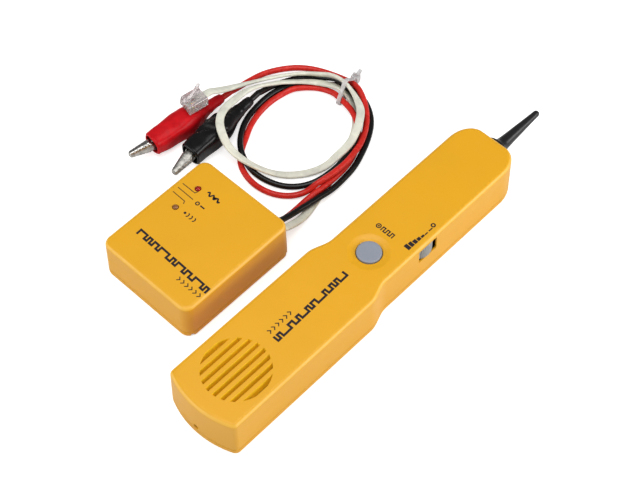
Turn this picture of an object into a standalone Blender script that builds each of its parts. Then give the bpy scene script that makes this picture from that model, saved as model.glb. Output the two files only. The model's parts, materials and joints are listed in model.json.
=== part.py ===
# Tone probe kit: a battery sender box with its clip leads and phone lead, and a
# long hand-held receiver with a tapered probe tip.
#
# Frame: +Z up, both housings lying on z = 0.  +X runs along the receiver towards
# its probe tip, +Y points from the receiver towards the sender.  The origin is on
# the receiver's back face.  Numbers are millimetres; make() turns them to metres.
import bpy
import bmesh
import math
import numpy as np
from mathutils import Vector, Matrix

MM = 0.001

# ---------------------------------------------------------------- shared sizes
GAP = 0.3              # clearance between neighbouring pieces
PART_Z = 3.8           # height of both housings' parting line
WALL = 2.0
FILLET = 2.2           # rounding of the roof edge
BACK_EDGE = 1.0        # rounding of the bottom edge
POCKET_Z = (1.8, 6.0)  # pockets sunk into the back shells, open upwards
DOOR_T = 1.9           # battery door thickness
SCREW_Z = 0.4          # underside of the screw heads
BORE_R = 1.5

# ---------------------------------------------------------------- receiver sizes
RX_H = 27.0            # height
RX_WIDE = 23.0         # half width of the speaker end
RX_SLIM = 19.2         # half width of the slim end
RX_BACK = -157.3       # rounded end
RX_TIP = 65.6          # flat end carrying the probe
RX_SCREWS = [(-147.5, 17.5), (-147.5, -17.5), (-53.5, 16.3), (-53.5, -16.3), (53.5, 11.5), (53.5, -11.5)]
RX_DOOR_X, RX_DOOR_Y = (-108.0, -60.0), -15.0     # recess span, and where it starts
RX_BOARD_Z = (7.4, 9.0)
RX_TERMINAL = (-62.7, 0.0, 13.0)                  # centre of the battery's stud end
GRILLE_X, GRILLE_Y, GRILLE_R = -128.8, -0.4, 17.8
GRILLE_PITCH, GRILLE_SLOT, GRILLE_DEEP = 4.5, 2.2, 4.5
BUTTON_X, BUTTON_Y, BUTTON_R = -34.3, -0.9, 6.9
WHEEL_X, WHEEL_Y, WHEEL_R = -9.3, -11.1, 8.3
WHEEL_RIBS = 24
PROBE_Z, PROBE_END = 14.0, 104.0

# ---------------------------------------------------------------- sender sizes
TX_X, TX_Y = -85.8, 72.2       # centre
TX_L, TX_W, TX_H = 75.0, 63.6, 25.2
TX_CORNER = 6.0
TX_END_X, TX_END_Y = TX_X + TX_L / 2, TX_Y + TX_W / 2     # outer faces on +X and +Y
TX_SCREWS = [(TX_X + sx * 33.0, TX_Y + sy * 28.7) for sx in (-1, 1) for sy in (-1, 1)]
TX_DOOR_X, TX_DOOR_Y = (TX_X - 29.0, TX_X), TX_Y - 23.0
TX_BOARD_Z = (5.4, 7.0)
TX_TERMINAL = (TX_X - 14.9, TX_Y - 21.5, 12.8)
LED_Y, LED_R = TX_Y + 19.3, 1.45
TONE_X, CONT_X = TX_X + 20.4, TX_X + 4.2
SWITCH_X, SWITCH_Z = TX_X + 12.6, 14.0

# ---------------------------------------------------------------- lead sizes
WIRE_R = 1.45
FLAT_W, FLAT_T = 4.6, 2.2      # phone cable section
TIE_AT = (50.0, 92.0)          # the cable tie's place in plan

# ---------------------------------------------------------------- clear the file
for ob in list(bpy.data.objects):
    bpy.data.objects.remove(ob, do_unlink=True)
for coll in list(bpy.data.collections):
    bpy.data.collections.remove(coll)

kit = bpy.data.collections.new("tone_probe_kit")
bpy.context.scene.collection.children.link(kit)
cutters = bpy.data.collections.new("cutters")
bpy.context.scene.collection.children.link(cutters)

# ---------------------------------------------------------------- materials
PALETTE = {
    "yellow_shell": dict(color=(0.86, 0.42, 0.03), rough=0.38),
    "grey_button": dict(color=(0.30, 0.32, 0.38), rough=0.45),
    "grey_wheel": dict(color=(0.33, 0.34, 0.36), rough=0.5),
    "black_probe": dict(color=(0.015, 0.015, 0.017), rough=0.35),
    "ferrite": dict(color=(0.06, 0.055, 0.05), rough=0.6),
    "board_green": dict(color=(0.03, 0.16, 0.06), rough=0.45),
    "battery_case": dict(color=(0.09, 0.09, 0.10), rough=0.35),
    "black_plastic": dict(color=(0.02, 0.02, 0.02), rough=0.5),
    "steel": dict(color=(0.58, 0.57, 0.55), rough=0.3, metal=1.0),
    "speaker_frame": dict(color=(0.35, 0.35, 0.36), rough=0.4, metal=0.6),
    "speaker_paper": dict(color=(0.10, 0.09, 0.08), rough=0.8),
    "capacitor_sleeve": dict(color=(0.03, 0.05, 0.14), rough=0.35),
    "red_lens": dict(color=(0.55, 0.01, 0.01), rough=0.2),
    "amber_lens": dict(color=(0.50, 0.20, 0.05), rough=0.3),
    "red_vinyl": dict(color=(0.55, 0.02, 0.025), rough=0.35),
    "black_vinyl": dict(color=(0.012, 0.012, 0.014), rough=0.35),
    "ivory_vinyl": dict(color=(0.70, 0.68, 0.58), rough=0.4),
    "clear_plastic": dict(color=(0.80, 0.82, 0.84), rough=0.1, alpha=0.4),
    "gold_contact": dict(color=(0.80, 0.58, 0.22), rough=0.25, metal=1.0),
    "clear_nylon": dict(color=(0.78, 0.78, 0.78), rough=0.35, alpha=0.6),
}


def material(name, color, rough, metal=0.0, alpha=1.0):
    mat = bpy.data.materials.new(name)
    mat.use_nodes = True
    inputs = mat.node_tree.nodes["Principled BSDF"].inputs
    inputs["Base Color"].default_value = (*color, 1.0)
    inputs["Roughness"].default_value = rough
    inputs["Metallic"].default_value = metal
    inputs["Alpha"].default_value = alpha
    return mat


# ---------------------------------------------------------------- mesh helpers
# A "part" is a (vertices, faces) pair in millimetres.
TURN_X = Matrix.Rotation(math.radians(90), 4, 'Y')       # +Z turns to +X
UPRIGHT = Matrix.Rotation(math.radians(90), 4, 'X')      # XY stands up in XZ, +Z turns to -Y


def make(name, part, slot=None, matrix=None, origin=(0, 0, 0), coll=kit):
    """One mesh object from a part; origin is its pivot, slot its palette material."""
    verts = [Vector(v) for v in part[0]]
    if matrix is not None:
        verts = [matrix @ v for v in verts]
    pivot = Vector(origin)
    mesh = bpy.data.meshes.new(name)
    mesh.from_pydata([tuple((v - pivot) * MM) for v in verts], [], [tuple(f) for f in part[1]])
    bm = bmesh.new()
    bm.from_mesh(mesh)
    bmesh.ops.remove_doubles(bm, verts=bm.verts, dist=1e-6)
    bmesh.ops.recalc_face_normals(bm, faces=bm.faces)
    bm.to_mesh(mesh)
    bm.free()
    mesh.update()
    ob = bpy.data.objects.new(name, mesh)
    ob.location = tuple(pivot * MM)
    coll.objects.link(ob)
    if slot:
        mesh.materials.append(material(slot + "_" + name, **PALETTE[slot]))
    return ob


def loft(rings, caps=True):
    """Quads between rings of equal length, with flat ends."""
    n = len(rings[0])
    verts = [tuple(p) for ring in rings for p in ring]
    faces = []
    for k in range(len(rings) - 1):
        a, b = k * n, (k + 1) * n
        for i in range(n):
            j = (i + 1) % n
            faces.append((a + i, a + j, b + j, b + i))
    if caps:
        faces.append(tuple(range(n))[::-1])
        faces.append(tuple(range((len(rings) - 1) * n, len(rings) * n)))
    return verts, faces


def join_parts(parts):
    verts, faces = [], []
    for part_verts, part_faces in parts:
        start = len(verts)
        verts.extend(part_verts)
        faces.extend([tuple(i + start for i in face) for face in part_faces])
    return verts, faces


def moved(part, matrix):
    return [tuple(matrix @ Vector(p)) for p in part[0]], part[1]


def around(centre, half):
    """Span reaching half to each side of centre."""
    return centre - half, centre + half


def part_from(bm):
    """Part of a bmesh, which is then freed."""
    bm.verts.index_update()
    part = ([tuple(v.co) for v in bm.verts], [tuple(v.index for v in f.verts) for f in bm.faces])
    bm.free()
    return part


def evaluated(ob, weld=1e-4):
    """Part of a helper object after its modifiers or curve bevel; the helper is removed."""
    bpy.context.scene.collection.objects.link(ob)
    depsgraph = bpy.context.evaluated_depsgraph_get()
    depsgraph.update()
    mesh = bpy.data.meshes.new_from_object(ob.evaluated_get(depsgraph))
    bm = bmesh.new()
    bm.from_mesh(mesh)
    bmesh.ops.remove_doubles(bm, verts=bm.verts, dist=weld)
    part = part_from(bm)
    bpy.data.meshes.remove(mesh)
    bpy.data.objects.remove(ob, do_unlink=True)
    return part


def box_bmesh(*spans):
    bm = bmesh.new()
    centre = Matrix.Translation([(lo + hi) / 2 for lo, hi in spans])
    size = Matrix.Diagonal([hi - lo for lo, hi in spans] + [1.0])
    bmesh.ops.create_cube(bm, size=1.0, matrix=centre @ size)
    return bm


def box(x_span, y_span, z_span):
    return part_from(box_bmesh(x_span, y_span, z_span))


def chamfer_box(x_span, y_span, z_span, chamfer):
    bm = box_bmesh(x_span, y_span, z_span)
    bmesh.ops.bevel(bm, geom=list(bm.edges), offset=chamfer, segments=1, profile=0.5,
                    affect='EDGES', clamp_overlap=True)
    return part_from(bm)


def cyl(x, y, radius, z0, z1, seg, phase=0.0):
    bm = bmesh.new()
    place = Matrix.Translation((x, y, (z0 + z1) / 2)) @ Matrix.Rotation(phase, 4, 'Z')
    bmesh.ops.create_cone(bm, cap_ends=True, segments=seg, radius1=radius, radius2=radius,
                          depth=z1 - z0, matrix=place)
    return part_from(bm)


def lathe(profile, seg, closed=False):
    """Turn an (r, z) profile about Z with a Screw modifier."""
    mesh = bpy.data.meshes.new("profile")
    n = len(profile)
    edges = [(k, k + 1) for k in range(n - 1)] + ([(n - 1, 0)] if closed else [])
    mesh.from_pydata([(r, 0.0, z) for r, z in profile], edges, [])
    ob = bpy.data.objects.new("profile", mesh)
    turn = ob.modifiers.new("turn", 'SCREW')
    turn.axis = 'Z'
    turn.angle = 2 * math.pi
    turn.steps = turn.render_steps = seg
    turn.screw_offset = 0.0
    turn.use_merge_vertices = True
    turn.merge_threshold = 0.0001
    return evaluated(ob)


def turned(name, profile, seg, slot, x, y, pivot_z):
    """Upright turned piece standing at (x, y)."""
    make(name, lathe(profile, seg), slot, Matrix.Translation((x, y, 0)), (x, y, pivot_z))


def polyline(name, points, dimensions, cyclic):
    curve = bpy.data.curves.new(name, 'CURVE')
    curve.dimensions = dimensions
    spline = curve.splines.new('POLY')
    spline.points.add(len(points) - 1)
    for target, point in zip(spline.points, points):
        x, y, z = point if len(point) == 3 else (*point, 0.0)
        target.co = (x, y, z, 1.0)
    spline.use_cyclic_u = cyclic
    return curve


def plate(outline, half):
    """Flat outline in its own XY plane, thickened by half on each side."""
    curve = polyline("outline", outline, '2D', True)
    curve.fill_mode = 'BOTH'
    curve.extrude = half
    return evaluated(bpy.data.objects.new("outline", curve), 1e-3)


def wire(points, radius=None, section=None):
    """Tube along a polyline: round, or with any closed section kept level."""
    curve = polyline("path", points, '3D', False)
    curve.use_fill_caps = True
    curve.bevel_resolution = 2
    guide = None
    if section is None:
        curve.bevel_depth = radius
    else:
        guide = bpy.data.objects.new("section", polyline("section", section, '2D', True))
        cutters.objects.link(guide)
        curve.bevel_mode = 'OBJECT'
        curve.bevel_object = guide
        curve.twist_mode = 'Z_UP'
    part = evaluated(bpy.data.objects.new("path", curve), 1e-3)
    if guide is not None:
        bpy.data.objects.remove(guide, do_unlink=True)
    return part


def cut(ob, name, part, matrix=None, operation='DIFFERENCE'):
    """Boolean modifier on ob with a new helper object as its tool."""
    tool = make(name, part, matrix=matrix, coll=cutters)
    tool.hide_render = True
    tool.display_type = 'WIRE'
    mod = ob.modifiers.new(name, 'BOOLEAN')
    mod.operation = operation
    mod.solver = 'EXACT'
    mod.object = tool


def fuse(ob, name, part, matrix=None):
    cut(ob, name, part, matrix, 'UNION')


def freeze(ob):
    """Turn an object's modifiers into plain geometry."""
    depsgraph = bpy.context.evaluated_depsgraph_get()
    depsgraph.update()
    mesh = bpy.data.meshes.new_from_object(ob.evaluated_get(depsgraph))
    bm = bmesh.new()
    bm.from_mesh(mesh)
    bmesh.ops.remove_doubles(bm, verts=bm.verts, dist=2e-6)
    bmesh.ops.dissolve_degenerate(bm, edges=bm.edges, dist=1e-6)
    bmesh.ops.recalc_face_normals(bm, faces=bm.faces)
    bm.to_mesh(mesh)
    bm.free()
    old = ob.data
    ob.modifiers.clear()
    ob.data = mesh
    bpy.data.meshes.remove(old)


# ---------------------------------------------------------------- outlines
def shrink(outline, inset):
    """Offset a counter-clockwise outline inwards."""
    p = np.array(outline, float)
    before = p - np.roll(p, 1, axis=0)
    after = np.roll(p, -1, axis=0) - p
    normals = [np.stack([-e[:, 1], e[:, 0]], 1) / np.linalg.norm(e, axis=1)[:, None]
               for e in (before, after)]
    mitre = normals[0] + normals[1]
    mitre /= np.linalg.norm(mitre, axis=1)[:, None]
    stretch = 1.0 / np.clip((mitre * normals[0]).sum(1), 0.5, 1.0)
    return [tuple(q) for q in p + mitre * (inset * stretch)[:, None]]


def level_ring(outline, inset, z):
    return [(x, y, z) for x, y in shrink(outline, inset)]


def receiver_outline():
    """Plan of the receiver: a bowed wide end, S shoulders, an elliptical nose."""
    half = []
    bow = 52.8                                  # radius of the rounded end
    for y in (0.0, 5.0, 10.0, 15.0, 18.5, 20.9):
        half.append((RX_BACK + bow - math.sqrt(bow * bow - y * y), y))
    corner_x, corner_r = -149.8, 3.5
    for degrees in (140, 122, 106, 90):
        a = math.radians(degrees)
        half.append((corner_x + corner_r * math.cos(a), RX_WIDE - corner_r + corner_r * math.sin(a)))
    shoulder_x, shoulder_l = -56.0, 15.5
    for k in range(7):
        s = k / 6.0
        drop = (RX_WIDE - RX_SLIM) * (0.5 - 0.5 * math.cos(math.pi * s))
        half.append((shoulder_x + shoulder_l * s, RX_WIDE - drop))
    nose_x, nose_y = 50.0, 8.0                  # centre of the nose's quarter ellipse
    for degrees in (90, 74, 58, 43, 29, 15, 3):
        a = math.radians(degrees)
        half.append((nose_x + (RX_TIP - nose_x) * math.cos(a) ** 0.96,
                     nose_y + (RX_SLIM - nose_y) * math.sin(a)))
    return [(x, -y) for x, y in half] + half[:0:-1]


def sender_outline():
    """Rounded rectangle, six points to a corner."""
    out = []
    for sx, sy, start in ((1, -1, -90), (1, 1, 0), (-1, 1, 90), (-1, -1, 180)):
        for i in range(6):
            a = math.radians(start + 90.0 * i / 5)
            out.append((TX_X + sx * (TX_L / 2 - TX_CORNER) + TX_CORNER * math.cos(a),
                        TX_Y + sy * (TX_W / 2 - TX_CORNER) + TX_CORNER * math.sin(a)))
    return out


# ---------------------------------------------------------------- housing pieces
def top_shell(outline, height, draft):
    """Open-bottomed cover: inside roof, inside wall, rim, outside wall, rounded roof."""
    rings = [level_ring(outline, WALL + draft + 0.1, height - WALL - 0.1),
             level_ring(outline, WALL, PART_Z),
             level_ring(outline, 0.0, PART_Z)]
    for degrees in (0, 30, 60, 90):
        a = math.radians(degrees)
        rings.append(level_ring(outline, draft + FILLET * (1 - math.cos(a)),
                                height - FILLET + FILLET * math.sin(a)))
    return loft(rings)


def back_plate(outline):
    return loft([level_ring(outline, BACK_EDGE, 0.0),
                 level_ring(outline, BACK_EDGE * 0.3, BACK_EDGE * 0.4),
                 level_ring(outline, 0.0, BACK_EDGE * 1.1),
                 level_ring(outline, 0.0, PART_Z - GAP)])


def bosses(places, radius, roof):
    return [cyl(x, y, radius, PART_Z + GAP, roof - 1.5, 12, 0.13) for x, y in places]


def bores(places, top):
    return [cyl(x, y, BORE_R, PART_Z - 1, top, 10) for x, y in places]


def screw_holes(places, head_r):
    """Stepped holes: a wide one for the head, a narrow one for the shank."""
    profile = [(0, -1), (head_r, -1), (head_r, 2.2), (1.6, 2.2), (1.6, 6), (0, 6)]
    hole = lathe(profile, 12, closed=True)
    return join_parts([moved(hole, Matrix.Translation((x, y, 0))) for x, y in places])


def screws(prefix, places, length):
    profile = [(0, 0), (1.7, 0), (2.4, 0.5), (2.4, 1.5), (1.2, 1.55), (1.2, length - 1.0), (0, length)]
    profile = [(r, SCREW_Z + z) for r, z in profile]
    for i, (x, y) in enumerate(places):
        turned("%s_screw_%d" % (prefix, i + 1), profile, 10, "steel", x, y, SCREW_Z)


def battery_door(prefix, x_span, y_start, y_wall, pivot_y, grip_y, grip_half):
    """Door flush with the back, its outer edge following the case's rounded bottom edge."""
    edge_y = y_wall - 0.1
    bm = box_bmesh((x_span[0] + GAP, x_span[1] - GAP), (y_start + GAP, edge_y), (0.0, DOOR_T))
    outer_edge = [e for e in bm.edges
                  if all(v.co.y > edge_y - 0.01 and v.co.z < 0.01 for v in e.verts)]
    bmesh.ops.bevel(bm, geom=outer_edge, offset=0.85, segments=2, profile=0.5, affect='EDGES')
    middle = sum(x_span) / 2
    door = make(prefix + "_battery_door", part_from(bm), "yellow_shell",
                origin=(middle, pivot_y, 1.0))
    grooves = [box(around(middle, grip_half), (grip_y + 2.0 * k, grip_y + 2.0 * k + 0.8), (-0.5, 0.45))
               for k in range(3)]
    cut(door, prefix + "_door_grip", join_parts(grooves))
    freeze(door)


# ---------------------------------------------------------------- electronic parts
STUD_OFFSET = 6.35     # of each battery stud from the end's centre


def terminal_parts(terminal, facing, radii, top):
    """Two cylinders side by side on a battery end that faces +X or -Y."""
    x, y, z = terminal
    parts = []
    for offset, radius in zip((-STUD_OFFSET, STUD_OFFSET), radii):
        if facing == "+X":
            frame = Matrix.Translation((x, y + offset, z)) @ TURN_X
        else:
            frame = Matrix.Translation((x + offset, y, z)) @ UPRIGHT
        parts.append(moved(cyl(0, 0, radius, -1.0, top, 12), frame))
    return join_parts(parts)


def battery(prefix, spans, terminal, facing):
    """PP3 block: bevelled case with two snap studs on one end."""
    name = prefix + "_battery"
    ob = make(name, chamfer_box(*spans, 1.2), "battery_case")
    fuse(ob, name + "_studs", terminal_parts(terminal, facing, (2.9, 3.6), 2.2))
    freeze(ob)


def snap(prefix, terminal, facing):
    """Snap connector plate whose two sockets sit over the battery studs."""
    name = prefix + "_battery_snap"
    x, y, z = terminal
    near, far, half_l, half_h = 0.35, 4.2, 12.0, 6.0
    if facing == "+X":
        plate_box = box((x + near, x + far), around(y, half_l), around(z, half_h))
    else:
        plate_box = box(around(x, half_l), (y - far, y - near), around(z, half_h))
    ob = make(name, plate_box, "black_plastic")
    cut(ob, name + "_sockets", terminal_parts(terminal, facing, (3.3, 4.0), 2.7))
    freeze(ob)


def capacitor(name, x, y, board_top):
    profile = [(0, 0), (3.6, 0), (4.0, 0.4), (4.0, 9.2), (3.5, 9.7), (0, 9.5)]
    profile = [(r, board_top + GAP + z) for r, z in profile]
    turned(name, profile, 14, "capacitor_sleeve", x, y, board_top)


# ================================================================ RECEIVER
rx_plan = receiver_outline()
probe_frame = Matrix.Translation((0, 0, PROBE_Z)) @ TURN_X


def grille_slots():
    """Parallel slots whose ends follow one circle; the outermost two are set by hand."""
    low, high = RX_H - GRILLE_DEEP - 1.5, RX_H + 1.0
    rows = [around((k - 3.5) * GRILLE_PITCH, GRILLE_SLOT / 2) for k in range(1, 7)]
    place = Matrix.Translation((GRILLE_X, GRILLE_Y, (low + high) / 2))
    parts = []
    for lo, hi in [(-16.9, -14.6)] + rows + [(14.6, 16.9)]:
        ys = [lo + (hi - lo) * i / 3.0 for i in range(4)]
        right = [(math.sqrt(GRILLE_R * GRILLE_R - y * y), y) for y in ys]
        left = [(-x, y) for x, y in right[::-1]]
        parts.append(moved(plate(right + left, (high - low) / 2), place))
    return join_parts(parts)


# top shell: openings in the walls first
rx_top = make("rx_top_shell", top_shell(rx_plan, RX_H, 0.45), "yellow_shell")
cut(rx_top, "rx_wheel_window", box((-15.8, -2.0), (-RX_SLIM - 2, -RX_SLIM + 4), (14.8, 24.4)))
cut(rx_top, "rx_probe_hole", cyl(0, 0, 5.3, RX_TIP - 4, RX_TIP + 2, 20), probe_frame)
# lanyard eye low in the rounded end
cut(rx_top, "rx_eye", cyl(0, 0, 1.6, -1, 6, 12), Matrix.Translation((RX_BACK - 1.5, 0, 6.2)) @ TURN_X)
freeze(rx_top)
# thick round pad behind the grille, and screw bosses
pad = cyl(GRILLE_X, GRILLE_Y, 19.6, RX_H - GRILLE_DEEP, RX_H - 1.2, 32)
fuse(rx_top, "rx_add", join_parts([pad] + bosses(RX_SCREWS, 3.0, RX_H)))
cut(rx_top, "rx_slots", grille_slots())
cut(rx_top, "rx_bores", join_parts(bores(RX_SCREWS, 15.0)))
freeze(rx_top)
# shallow dish round the button hole
DISH = [(0, RX_H - 0.65), (7.3, RX_H - 0.65), (11.4, RX_H + 0.25), (11.4, RX_H + 2), (0, RX_H + 2)]
cut(rx_top, "rx_dish", lathe(DISH, 32, closed=True), Matrix.Translation((BUTTON_X, BUTTON_Y, 0)))
cut(rx_top, "rx_button_hole", cyl(BUTTON_X, BUTTON_Y, BUTTON_R + 0.35, RX_H - 4, RX_H + 2, 32, 0.05))
freeze(rx_top)

# back shell: pockets under the board and the speaker, door, screw holes, end slot
rx_back = make("rx_back_shell", back_plate(rx_plan), "yellow_shell")
cut(rx_back, "rx_pockets", join_parts([box((-48.0, 48.0), (-16.5, 16.5), POCKET_Z),
                                       box((-144.0, -112.0), (-14.0, 14.0), POCKET_Z)]))
cut(rx_back, "rx_door_recess", box(RX_DOOR_X, (RX_DOOR_Y, 30.0), (-1.0, DOOR_T + GAP)))
cut(rx_back, "rx_door_opening",
    box((RX_DOOR_X[0] + 3, RX_DOOR_X[1] - 3), (RX_DOOR_Y + 1.5, 15.0), (-2.0, 6.0)))
cut(rx_back, "rx_screw_holes", screw_holes(RX_SCREWS, 2.9))
cut(rx_back, "rx_eye_slot", box((-154.2, -149.0), (-2.0, 2.0), (-1.0, 6.0)))
freeze(rx_back)

screws("rx", RX_SCREWS, 12.0)
battery_door("rx", RX_DOOR_X, RX_DOOR_Y, RX_WIDE, pivot_y=4.0, grip_y=15.0, grip_half=8.0)

# board and battery
rx_board_top = RX_BOARD_Z[1]
make("rx_circuit_board", box((-47.0, 46.0), (-15.5, 15.5), RX_BOARD_Z), "board_green")
battery("rx", ((-109.0, RX_TERMINAL[0]), (-12.9, 12.9), (4.4, 21.6)), RX_TERMINAL, "+X")
snap("rx", RX_TERMINAL, "+X")

# speaker, (r, z) profiles
BASKET = [(0, 11.0), (8.0, 11.0), (8.0, 15.2), (12.5, 16.2), (17.6, 20.4), (18.3, 20.6),
          (18.3, 22.1), (16.4, 22.1), (15.6, 20.6), (11.6, 17.4), (6.5, 16.6), (0, 16.6)]
DIAPHRAGM = [(0, 19.6), (4.0, 18.9), (5.0, 18.2), (12.6, 20.9), (14.2, 21.6), (15.3, 21.0),
             (15.3, 21.4), (14.2, 22.0), (12.4, 21.4), (5.0, 18.8), (4.0, 19.5), (0, 20.3)]
turned("rx_speaker_basket", BASKET, 20, "speaker_frame", GRILLE_X, GRILLE_Y, 11.0)
turned("rx_speaker_diaphragm", DIAPHRAGM, 20, "speaker_paper", GRILLE_X, GRILLE_Y, 20.0)

# test button with its retaining flange and stem, (r, z), over its switch
BUTTON = [(0, 16.4), (2.4, 16.4), (2.4, 22.6), (8.6, 22.6), (8.6, 23.8), (BUTTON_R, 23.8),
          (BUTTON_R, 26.7), (BUTTON_R - 0.35, 27.15), (BUTTON_R - 0.9, 27.3), (0, 27.4)]
turned("rx_test_button", BUTTON, 24, "grey_button", BUTTON_X, BUTTON_Y, 24.0)
make("rx_tact_switch", chamfer_box(around(BUTTON_X, 4), around(BUTTON_Y, 4),
                                   (rx_board_top + GAP, 15.0), 0.6), "black_plastic")


def volume_wheel():
    """Ribbed thumb wheel, bored from below for the potentiometer's shaft."""
    rim = []
    for i in range(WHEEL_RIBS * 2):
        a = 2 * math.pi * i / (WHEEL_RIBS * 2)
        r = WHEEL_R if i % 2 == 0 else WHEEL_R - 0.45
        rim.append((r * math.cos(a), r * math.sin(a)))
    disc = moved(plate(rim, 4.4), Matrix.Translation((WHEEL_X, WHEEL_Y, 19.8)))
    wheel = make("rx_volume_wheel", disc, "grey_wheel", origin=(WHEEL_X, WHEEL_Y, 20.0))
    cut(wheel, "wheel_bore", cyl(WHEEL_X, WHEEL_Y, 2.3, 10, 21.0, 12))
    freeze(wheel)


volume_wheel()
POT = [(0, 9.3), (5.7, 9.3), (5.7, 13.6), (3.2, 13.8), (3.2, 14.8), (2.0, 14.9), (2.0, 20.4), (0, 20.4)]
turned("rx_volume_pot", POT, 16, "black_plastic", WHEEL_X, WHEEL_Y, rx_board_top)
make("rx_amplifier_chip", box((8.0, 18.0), (-3.3, 3.3), (rx_board_top + GAP, 12.8)), "black_plastic")
capacitor("rx_capacitor", 29.0, 7.0, rx_board_top)

# tapered probe with its flared collar, hollow for the pickup rod; (r, x) profiles
PROBE = [(1.55, 58.0), (4.9, 58.0), (4.9, 65.95), (7.1, 66.0), (7.5, 66.5), (7.5, 68.9),
         (7.1, 69.3), (5.6, 70.2), (4.3, 71.9), (3.7, 74.4), (3.25, 80.0), (2.45, 92.5),
         (1.95, 101.2), (1.7, 102.9), (0.9, 103.8), (0, PROBE_END), (0, 90.0), (1.55, 90.0)]
ROD = [(0, 51.5), (1.1, 51.5), (1.2, 52.0), (1.2, 89.0), (0.8, 89.5), (0, 89.5)]
make("rx_probe_tip", lathe(PROBE, 16, closed=True), "black_probe", probe_frame, (RX_TIP, 0, PROBE_Z))
make("rx_pickup_rod", lathe(ROD, 10), "ferrite", probe_frame, (52.0, 0, PROBE_Z))

# ================================================================ SENDER
tx_plan = sender_outline()

# top shell: screw bores, LED holes, switch window in the +Y wall, lead window in the +X wall
tx_top = make("tx_top_shell", top_shell(tx_plan, TX_H, 0.4), "yellow_shell")
fuse(tx_top, "tx_add", join_parts(bosses(TX_SCREWS, 2.7, TX_H)))
openings = bores(TX_SCREWS, 14.0)
openings += [cyl(x, LED_Y, LED_R + GAP, TX_H - 5, TX_H + 2, 20) for x in (TONE_X, CONT_X)]
openings.append(box(around(SWITCH_X, 6.0), (TX_END_Y - 6, TX_END_Y + 2), around(SWITCH_Z, 2.4)))
openings.append(box((TX_END_X - 6, TX_END_X + 2), (45.9, 58.1), (7.4, 14.8)))
cut(tx_top, "tx_cuts", join_parts(openings))
freeze(tx_top)

tx_back = make("tx_back_shell", back_plate(tx_plan), "yellow_shell")
cut(tx_back, "tx_pocket", box((TX_X + 5.0, TX_X + 28.0), around(TX_Y, 24.0), POCKET_Z))
cut(tx_back, "tx_door_recess", box(TX_DOOR_X, (TX_DOOR_Y, TX_Y + 40.0), (-1.0, DOOR_T + GAP)))
cut(tx_back, "tx_door_opening",
    box((TX_DOOR_X[0] + 1.5, TX_DOOR_X[1] - 1.5), (TX_DOOR_Y + 1.5, TX_Y + 27.0), (-2.0, 6.0)))
cut(tx_back, "tx_screw_holes", screw_holes(TX_SCREWS, 2.8))
freeze(tx_back)

screws("tx", TX_SCREWS, 11.0)
battery_door("tx", TX_DOOR_X, TX_DOOR_Y, TX_END_Y, pivot_y=TX_Y + 4.0, grip_y=TX_END_Y - 9.0,
             grip_half=6.5)

# board and battery
tx_board_top = TX_BOARD_Z[1]
battery("tx", ((TX_X - 28.0, TX_X - 1.8), (TX_TERMINAL[1], TX_Y + 24.8), (4.2, 21.4)),
        TX_TERMINAL, "-Y")
snap("tx", TX_TERMINAL, "-Y")
make("tx_circuit_board", box((TX_X + 0.5, TX_X + 29.5), (TX_Y - 24.5, TX_Y + 28.5), TX_BOARD_Z),
     "board_green")

# slide switch inside the +Y wall
switch = make("tx_mode_switch_body", box(around(SWITCH_X, 7.0), (TX_Y + 22.6, TX_Y + 28.9),
                                         (tx_board_top + GAP, SWITCH_Z + 4.0)), "steel")
cut(switch, "tx_switch_slot",
    box(around(SWITCH_X, 5.8), (TX_Y + 26.4, TX_Y + 30.0), around(SWITCH_Z, 2.1)))
freeze(switch)
knob = chamfer_box(around(SWITCH_X, 1.9), (TX_Y + 26.8, TX_Y + 34.0), around(SWITCH_Z, 1.7), 0.35)
make("tx_mode_switch_knob", knob, "black_plastic", origin=(SWITCH_X, TX_Y + 30.0, SWITCH_Z))


def led(name, x, slot):
    """Flanged lens with a domed top."""
    shoulder, dome = TX_H - 0.2, 1.1
    profile = [(0, 20.4), (1.9, 20.4), (1.9, 21.4), (LED_R, 21.45), (LED_R, shoulder)]
    for degrees in (30, 60):
        a = math.radians(degrees)
        profile.append((LED_R * math.cos(a), shoulder + dome * math.sin(a)))
    profile.append((0, shoulder + dome))
    turned(name, profile, 12, slot, x, LED_Y, TX_H)


led("tx_tone_led", TONE_X, "red_lens")
led("tx_cont_led", CONT_X, "amber_lens")
make("tx_tone_chip", box((TX_X + 8.0, TX_X + 18.0), (TX_Y - 2.0, TX_Y + 4.6),
                         (tx_board_top + GAP, 10.8)), "black_plastic")
capacitor("tx_capacitor", TX_X + 8.0, TX_Y - 14.0, tx_board_top)


# ================================================================ CLIPS
def frame_at(origin, along, roll=0.0):
    """Local frame: +x along the given direction, z as near up as it can be, then rolled."""
    x = Vector(along).normalized()
    y = Vector((0, 0, 1)).cross(x).normalized()
    axes = Matrix((x, y, x.cross(y))).transposed().to_4x4()
    return Matrix.Translation(origin) @ axes @ Matrix.Rotation(math.radians(roll), 4, 'X')


# clip frames: origin in the boot's mouth, +x back along the boot, jaws towards -x
RED_BOOT = frame_at((-54.0, 141.0, 7.9), (1.0, -0.085, -0.01))
RED_JAWS = frame_at((-54.0, 141.0, 7.9), (1.0, -0.20, -0.09), 78.0)
BLK_BOOT = frame_at((-44.5, 120.9, 7.7), (1.0, 0.06, 0.0))
BLK_JAWS = frame_at((-44.5, 120.9, 7.7), (1.0, 0.10, 0.15), 8.0)
BOOT_LEN = 50.0
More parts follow.
